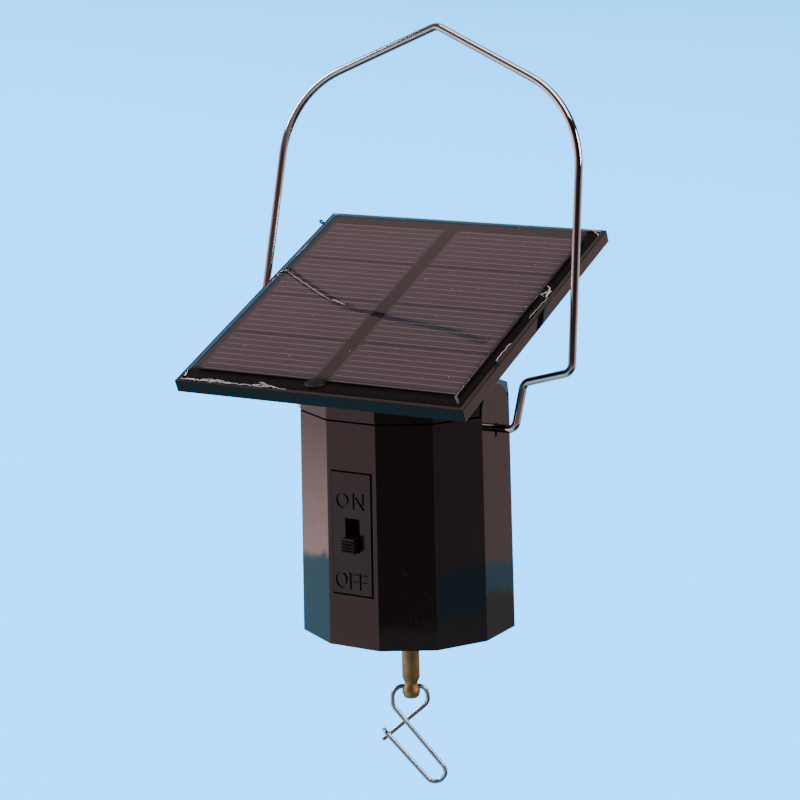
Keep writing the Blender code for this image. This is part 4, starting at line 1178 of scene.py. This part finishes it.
def string_run(start, end, thickness, wander):
    """Knots of one glue string that wanders between two (x, y) places on the rim."""
    start, end = Vector(start), Vector(end)
    steps = max(3, int((end - start).length / 0.0007))
    knots = []
    for step in range(steps + 1):
        flat = start.lerp(end, step / steps)
        flat += Vector((draw.uniform(-wander, wander), draw.uniform(-wander, wander)))
        lift = 0.0 if step in (0, steps) else draw.uniform(-0.2, 1.0) * wander
        knots.append((Vector((flat.x, flat.y, RIM + thickness * 0.3 + lift)), 0.00012))
    return knots


GLUE_STRINGS = (
    ((-0.0386, -0.0389), (-0.0310, -0.0388), 0.00026, 0.00022),
    ((-0.0372, -0.0386), (-0.0345, -0.0391), 0.00034, 0.00020),
    ((-0.0330, -0.0385), (-0.0235, -0.0389), 0.00024, 0.00026),
    ((-0.0318, -0.0378), (-0.0262, -0.0386), 0.00018, 0.00032),
    ((-0.0300, -0.0391), (-0.0272, -0.0383), 0.00036, 0.00022),
    ((-0.0262, -0.0386), (-0.0150, -0.0388), 0.00020, 0.00018),
    ((-0.0170, -0.0372), (-0.0118, -0.0389), 0.00018, 0.00030),
    ((-0.0182, -0.0385), (-0.0140, -0.0377), 0.00022, 0.00034),
    ((-0.0152, -0.0389), (-0.0112, -0.0384), 0.00030, 0.00024),
    ((-0.0120, -0.0386), (-0.0084, -0.0389), 0.00016, 0.00012),
    ((0.0386, 0.0083), (0.0378, 0.0122), 0.00042, 0.00030),
    ((0.0370, 0.0090), (0.0389, 0.0108), 0.00034, 0.00036),
    ((0.0380, 0.0118), (0.0366, 0.0130), 0.00028, 0.00030),
    ((0.0388, 0.0080), (0.0383, -0.0010), 0.00012, 0.00010),
    ((0.0388, -0.0118), (0.0386, -0.0196), 0.00020, 0.00018),
    ((0.0340, 0.0390), (0.0388, 0.0388), 0.00022, 0.00030),
    ((0.0368, 0.0391), (0.0390, 0.0372), 0.00026, 0.00026),
    ((-0.0391, 0.0388), (-0.0378, 0.0391), 0.00024, 0.00016),
    ((-0.0389, 0.0180), (-0.0387, 0.0240), 0.00014, 0.00012),
)
glue_shape = bmesh.new()
for start, end, thickness, wander in GLUE_STRINGS:
    run = bent_wire("glue_run", string_run(start, end, thickness, wander), thickness)
    glue_shape.from_mesh(run)
    bpy.data.meshes.remove(run)
bmesh.ops.transform(glue_shape, matrix=panel_place, verts=glue_shape.verts)
glue = new_piece("glue_strings", mesh_of("glue_strings", glue_shape), glue_pale, 60.0)
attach(glue, "panel")
CURL_CENTRE = Vector((-0.0414, 0.0352, RIM - 0.0006))
CURL_RADIUS = 0.0008
curl_knots = [(Vector((-0.0397, 0.0356, RIM - 0.0010)), 0.0)]
for step in range(9):
    angle = math.radians(-60 + step * 48)
    out = CURL_RADIUS * (1.0 - 0.03 * step)
    knot = CURL_CENTRE + Vector((out * math.cos(angle), 0.00016 * step, out * math.sin(angle)))
    curl_knots.append((knot, 0.0002))
curl_mesh = bent_wire("flash_curl", curl_knots, 0.00044)
curl_mesh.transform(panel_place)
curl = new_piece("flash_curl", curl_mesh, housing_black, 60.0)
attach(curl, "panel")

# ---- Stage ----
# A wide pale sky-blue floor under the hanging motor, soft lights from the left, the right and above, and
# a room that is warm all round but for the dark side behind the camera.
FLOOR_Z = -0.36
FLOOR_RADIUS = 16.0
floor_shape = bmesh.new()
bmesh.ops.create_circle(floor_shape, cap_ends=True, segments=96, radius=FLOOR_RADIUS)
bmesh.ops.translate(floor_shape, vec=(0.0, 0.0, FLOOR_Z), verts=floor_shape.verts)
floor = add_object("floor", mesh_of("floor", floor_shape))
floor.visible_glossy = False
floor.visible_diffuse = False
# The floor and backdrop glow by themselves instead of being lit by the lamps, and the glow is paler near and
# deeper far: painted light falloff.
floor_glow = bpy.data.materials.new("floor_glow")
floor_glow.use_nodes = True
paint_nodes = floor_glow.node_tree.nodes
paint_links = floor_glow.node_tree.links
paint_nodes.clear()
spot = paint_nodes.new("ShaderNodeTexCoord")
spot.label = "Place on the floor"
distance = paint_nodes.new("ShaderNodeVectorMath")
distance.label = "Towards the far right"
distance.operation = "DOT_PRODUCT"
distance.inputs[1].default_value = (0.4, 0.9, 0.0)
fall = paint_nodes.new("ShaderNodeMapRange")
fall.label = "Near to far"
fall.inputs["From Min"].default_value = 0.5
fall.inputs["From Max"].default_value = 4.8
# Painted falloff: the glow goes from pale near to a deeper, darker blue far away.
painted_falloff = paint_nodes.new("ShaderNodeMix")
painted_falloff.label = "Pale near, deeper far"
painted_falloff.data_type = "RGBA"
painted_falloff.inputs[6].default_value = (0.0, 2.2, 6.0, 1.0)
painted_falloff.inputs[7].default_value = (0.0, 1.55, 3.5, 1.0)
# The floor's colour is glow in place of lamp light.
paint = paint_nodes.new("ShaderNodeEmission")
paint.label = "Glowing paint"
painted = paint_nodes.new("ShaderNodeOutputMaterial")
paint_links.new(spot.outputs["Object"], distance.inputs[0])
paint_links.new(distance.outputs["Value"], fall.inputs["Value"])
paint_links.new(fall.outputs["Result"], painted_falloff.inputs["Factor"])
paint_links.new(painted_falloff.outputs[2], paint.inputs["Color"])
paint_links.new(paint.outputs["Emission"], painted.inputs["Surface"])
for step, node in enumerate((spot, distance, fall, painted_falloff, paint, painted)):
    node.location = (230 * step, 0)
floor.data.materials.append(floor_glow)
drop_shape = bmesh.new()
bmesh.ops.create_circle(drop_shape, segments=96, radius=FLOOR_RADIUS - 0.1)
bmesh.ops.translate(drop_shape, vec=(0.0, 0.0, FLOOR_Z), verts=drop_shape.verts)
risen = bmesh.ops.extrude_edge_only(drop_shape, edges=drop_shape.edges[:])
tops = [item for item in risen["geom"] if isinstance(item, bmesh.types.BMVert)]
bmesh.ops.translate(drop_shape, vec=(0.0, 0.0, 30.0), verts=tops)
backdrop = add_object("backdrop", mesh_of("backdrop", drop_shape))
backdrop.data.materials.append(floor_glow)
for unseen in ("visible_glossy", "visible_diffuse", "visible_transmission", "visible_shadow"):
    setattr(backdrop, unseen, False)

room = bpy.data.worlds.new("room")
bpy.context.scene.world = room
room.use_nodes = True
sky = room.node_tree.nodes
wires = room.node_tree.links
sky.clear()
look = sky.new("ShaderNodeTexCoord")
look.label = "Which way"
parts = sky.new("ShaderNodeSeparateXYZ")
parts.label = "Sideways and up"
behind = sky.new("ShaderNodeVectorMath")
behind.label = "Towards the far wall"
behind.operation = "DOT_PRODUCT"
behind.inputs[1].default_value = (-0.516, 0.857, 0.0)
wall = sky.new("ShaderNodeMapRange")
wall.label = "Dark side to far wall"
wall.inputs["From Min"].default_value = -0.66
wall.inputs["From Max"].default_value = -0.48
wall.inputs["To Min"].default_value = 0.24
wall.inputs["To Max"].default_value = 1.0
across = sky.new("ShaderNodeMapRange")
across.label = "Right side is dimmer"
across.inputs["From Min"].default_value = 0.95
across.inputs["From Max"].default_value = -0.2
across.inputs["To Min"].default_value = 0.36
across.inputs["To Max"].default_value = 1.0
edge = sky.new("ShaderNodeMapRange")
edge.label = "Blue sheet rises at the far wall"
edge.interpolation_type = "SMOOTHSTEP"
edge.inputs["From Min"].default_value = 0.55
edge.inputs["From Max"].default_value = 0.80
edge.inputs["To Min"].default_value = -0.3314
edge.inputs["To Max"].default_value = 0.64
right_rise = sky.new("ShaderNodeMath")
right_rise.label = "Only the right side"
right_rise.operation = "MAXIMUM"
right_rise.inputs[1].default_value = 0.5
right_edge = sky.new("ShaderNodeMath")
right_edge.label = "Sheet is higher on the right"
right_edge.operation = "MULTIPLY_ADD"
right_edge.inputs[1].default_value = 0.119
near_drop = sky.new("ShaderNodeMapRange")
near_drop.label = "Sheet is lower on the near side"
near_drop.inputs["From Min"].default_value = 0.0
near_drop.inputs["From Max"].default_value = 0.515
near_drop.inputs["To Min"].default_value = -0.035
near_drop.inputs["To Max"].default_value = 0.0165
whole_edge = sky.new("ShaderNodeMath")
whole_edge.label = "Edge all round"
whole_edge.operation = "ADD"
over = sky.new("ShaderNodeMath")
over.label = "Height over the sheet's edge"
over.operation = "SUBTRACT"
sheet = sky.new("ShaderNodeMapRange")
sheet.label = "Blue below it"
sheet.inputs["From Min"].default_value = 0.0012
sheet.inputs["From Max"].default_value = -0.0012
sheet_light = sky.new("ShaderNodeMapRange")
sheet_light.label = "Sheet is darker underneath"
sheet_light.inputs["From Min"].default_value = -0.60
sheet_light.inputs["From Max"].default_value = -0.30
sheet_light.inputs["To Min"].default_value = 0.50
sheet_light.inputs["To Max"].default_value = 1.0
sheet_far = sky.new("ShaderNodeMapRange")
sheet_far.label = "And high up"
sheet_far.inputs["From Min"].default_value = -0.22
sheet_far.inputs["From Max"].default_value = 0.0
sheet_far.inputs["To Min"].default_value = 1.0
sheet_far.inputs["To Max"].default_value = 0.42
sheet_lit = sky.new("ShaderNodeMath")
sheet_lit.label = "Sheet up and down"
sheet_lit.operation = "MULTIPLY"
ground_light = sky.new("ShaderNodeMapRange")
ground_light.label = "Ground is dark underneath"
ground_light.inputs["From Min"].default_value = -0.45
ground_light.inputs["From Max"].default_value = -0.30
ground_light.inputs["To Min"].default_value = 0.10
ground_light.inputs["To Max"].default_value = 1.0
sheet_side = sky.new("ShaderNodeMath")
sheet_side.label = "And on the right"
sheet_side.operation = "MULTIPLY"
foot_low = sky.new("ShaderNodeMapRange")
foot_low.label = "Below the sheet's foot"
foot_low.inputs["From Min"].default_value = -0.2690
foot_low.inputs["From Max"].default_value = -0.2715
foot_right = sky.new("ShaderNodeMapRange")
foot_right.label = "On the right"
foot_right.inputs["From Min"].default_value = 0.25
foot_right.inputs["From Max"].default_value = 0.35
foot = sky.new("ShaderNodeMath")
foot.label = "Grey ground on the right"
foot.operation = "MULTIPLY"
near_edge = sky.new("ShaderNodeMapRange")
near_edge.label = "Just over the sheet"
near_edge.inputs["From Min"].default_value = 0.050
near_edge.inputs["From Max"].default_value = 0.004
near_edge.inputs["To Max"].default_value = 1.3
far_left = sky.new("ShaderNodeMapRange")
far_left.label = "On the left"
far_left.inputs["From Min"].default_value = -0.72
far_left.inputs["From Max"].default_value = -0.92
left_glow = sky.new("ShaderNodeMath")
left_glow.label = "Low sun on the left wall"
left_glow.operation = "MULTIPLY_ADD"
left_glow.inputs[2].default_value = 1.0
high = sky.new("ShaderNodeMapRange")
high.label = "Over the horizon"
high.inputs["From Min"].default_value = -0.08
high.inputs["From Max"].default_value = 0.22
right_side = sky.new("ShaderNodeMapRange")
right_side.label = "Right half"
right_side.inputs["From Min"].default_value = -0.2
right_side.inputs["From Max"].default_value = 0.25
near_side = sky.new("ShaderNodeMapRange")
near_side.label = "Near half"
near_side.inputs["From Min"].default_value = 0.30
near_side.inputs["From Max"].default_value = -0.05
either = sky.new("ShaderNodeMath")
either.label = "Either half"
either.operation = "MAXIMUM"
unlit = sky.new("ShaderNodeMath")
unlit.label = "Unlit over the horizon"
unlit.operation = "MULTIPLY"
kept = sky.new("ShaderNodeMath")
kept.label = "What light is left"
kept.operation = "MULTIPLY_ADD"
kept.inputs[1].default_value = -0.90
kept.inputs[2].default_value = 1.0
ceiling = sky.new("ShaderNodeMapRange")
ceiling.label = "Dim ceiling"
ceiling.inputs["From Min"].default_value = 0.25
ceiling.inputs["From Max"].default_value = 0.65
ceiling.inputs["To Min"].default_value = 1.0
ceiling.inputs["To Max"].default_value = 0.56
lit = sky.new("ShaderNodeMath")
lit.label = "Walls under the ceiling"
lit.operation = "MULTIPLY"
side_light = sky.new("ShaderNodeMath")
side_light.label = "Walls together"
side_light.operation = "MULTIPLY"
open_wall = sky.new("ShaderNodeMath")
open_wall.label = "Walls with the unlit part"
open_wall.operation = "MULTIPLY"
glowing = sky.new("ShaderNodeMath")
glowing.label = "Walls with the low sun"
glowing.operation = "MULTIPLY"
warm = sky.new("ShaderNodeVectorMath")
warm.label = "Warm wall"
warm.operation = "SCALE"
warm.inputs[0].default_value = (1.15, 0.80, 0.78)
blue = sky.new("ShaderNodeVectorMath")
blue.label = "Blue sheet"
blue.operation = "SCALE"
blue.inputs[0].default_value = (0.40, 0.80, 1.10)
mixed = sky.new("ShaderNodeMix")
mixed.label = "Wall or blue sheet"
mixed.data_type = "RGBA"
ground = sky.new("ShaderNodeMix")
ground.label = "Grey ground over both"
ground.data_type = "RGBA"
grey = sky.new("ShaderNodeVectorMath")
grey.label = "Grey ground"
grey.operation = "SCALE"
grey.inputs[0].default_value = (0.32, 0.29, 0.29)
glow = sky.new("ShaderNodeBackground")
glow.label = "Room light"
out = sky.new("ShaderNodeOutputWorld")
wires.new(look.outputs["Generated"], parts.inputs["Vector"])
wires.new(look.outputs["Generated"], behind.inputs[0])
wires.new(behind.outputs["Value"], wall.inputs["Value"])
wires.new(behind.outputs["Value"], edge.inputs["Value"])
wires.new(parts.outputs["X"], across.inputs["Value"])
wires.new(parts.outputs["X"], right_rise.inputs[0])
wires.new(right_rise.outputs["Value"], right_edge.inputs[0])
wires.new(edge.outputs["Result"], right_edge.inputs[2])
wires.new(parts.outputs["Z"], over.inputs[0])
wires.new(behind.outputs["Value"], near_drop.inputs["Value"])
wires.new(right_edge.outputs["Value"], whole_edge.inputs[0])
wires.new(near_drop.outputs["Result"], whole_edge.inputs[1])
wires.new(whole_edge.outputs["Value"], over.inputs[1])
wires.new(over.outputs["Value"], sheet.inputs["Value"])
wires.new(parts.outputs["Z"], sheet_light.inputs["Value"])
wires.new(parts.outputs["Z"], sheet_far.inputs["Value"])
wires.new(sheet_light.outputs["Result"], sheet_lit.inputs[0])
wires.new(sheet_far.outputs["Result"], sheet_lit.inputs[1])
wires.new(sheet_lit.outputs["Value"], sheet_side.inputs[0])
wires.new(parts.outputs["Z"], ground_light.inputs["Value"])
wires.new(ground_light.outputs["Result"], grey.inputs["Scale"])
wires.new(grey.outputs["Vector"], ground.inputs[7])
wires.new(across.outputs["Result"], sheet_side.inputs[1])
wires.new(parts.outputs["Z"], foot_low.inputs["Value"])
wires.new(parts.outputs["X"], foot_right.inputs["Value"])
wires.new(foot_low.outputs["Result"], foot.inputs[0])
wires.new(foot_right.outputs["Result"], foot.inputs[1])
wires.new(over.outputs["Value"], near_edge.inputs["Value"])
wires.new(parts.outputs["X"], far_left.inputs["Value"])
wires.new(near_edge.outputs["Result"], left_glow.inputs[0])
wires.new(far_left.outputs["Result"], left_glow.inputs[1])
wires.new(parts.outputs["Z"], high.inputs["Value"])
wires.new(parts.outputs["X"], right_side.inputs["Value"])
wires.new(parts.outputs["Y"], near_side.inputs["Value"])
wires.new(right_side.outputs["Result"], either.inputs[0])
wires.new(near_side.outputs["Result"], either.inputs[1])
wires.new(either.outputs["Value"], unlit.inputs[0])
wires.new(high.outputs["Result"], unlit.inputs[1])
wires.new(unlit.outputs["Value"], kept.inputs[0])
wires.new(parts.outputs["Z"], ceiling.inputs["Value"])
wires.new(wall.outputs["Result"], side_light.inputs[0])
wires.new(across.outputs["Result"], side_light.inputs[1])
wires.new(side_light.outputs["Value"], lit.inputs[0])
wires.new(ceiling.outputs["Result"], lit.inputs[1])
wires.new(lit.outputs["Value"], open_wall.inputs[0])
wires.new(kept.outputs["Value"], open_wall.inputs[1])
wires.new(open_wall.outputs["Value"], glowing.inputs[0])
wires.new(left_glow.outputs["Value"], glowing.inputs[1])
wires.new(glowing.outputs["Value"], warm.inputs["Scale"])
wires.new(sheet_side.outputs["Value"], blue.inputs["Scale"])
wires.new(warm.outputs["Vector"], mixed.inputs[6])
wires.new(blue.outputs["Vector"], mixed.inputs[7])
wires.new(sheet.outputs["Result"], mixed.inputs["Factor"])
wires.new(mixed.outputs[2], ground.inputs[6])
wires.new(foot.outputs["Value"], ground.inputs["Factor"])
wires.new(ground.outputs[2], glow.inputs["Color"])
wires.new(glow.outputs["Background"], out.inputs["Surface"])
for step, node in enumerate(sky):
    node.location = (230 * (step % 6), -280 * (step // 6))
for effect, members in (("Walls", (wall, across, side_light, ceiling, lit, open_wall, warm)),
                        ("Low sun", (near_edge, far_left, left_glow, glowing)),
                        ("Unlit part", (high, right_side, near_side, either, unlit, kept)),
                        ("Edge of the sheet", (edge, right_rise, right_edge, near_drop, whole_edge, over, sheet)),
                        ("Light on the sheet", (sheet_light, sheet_far, sheet_lit, sheet_side, blue, mixed)),
                        ("Grey ground", (ground_light, foot_low, foot_right, foot, grey, ground))):
    group = sky.new("NodeFrame")
    group.label = effect
    for node in members:
        node.parent = group

for name, place, size, power in (("left_softbox", (-2.0, -0.5, 1.0), 1.0, 30.0),
                                 ("right_softbox", (1.9, 0.3, 0.8), 0.9, 14.0),
                                 ("top_softbox", (0.6, -0.3, 2.2), 2.0, 30.0)):
    lamp = bpy.data.lights.new(name, "AREA")
    lamp.size = size
    lamp.energy = power
    lamp.color = (1.0, 0.97, 0.95)
    holder = add_object(name, lamp)
    holder.location = place
    aim = Vector((0.0, -0.01, -0.1)) - Vector(place)
    holder.rotation_euler = aim.to_track_quat("-Z", "Y").to_euler()

camera = bpy.data.cameras.new("camera")
camera.lens = 116.77
camera.sensor_width = 36.0
stand = add_object("camera", camera)
stand.location = (0.3252, -0.5585, 0.0453)
stand.rotation_euler = (math.radians(77.886), math.radians(1.242), math.radians(30.924))
bpy.context.scene.camera = stand
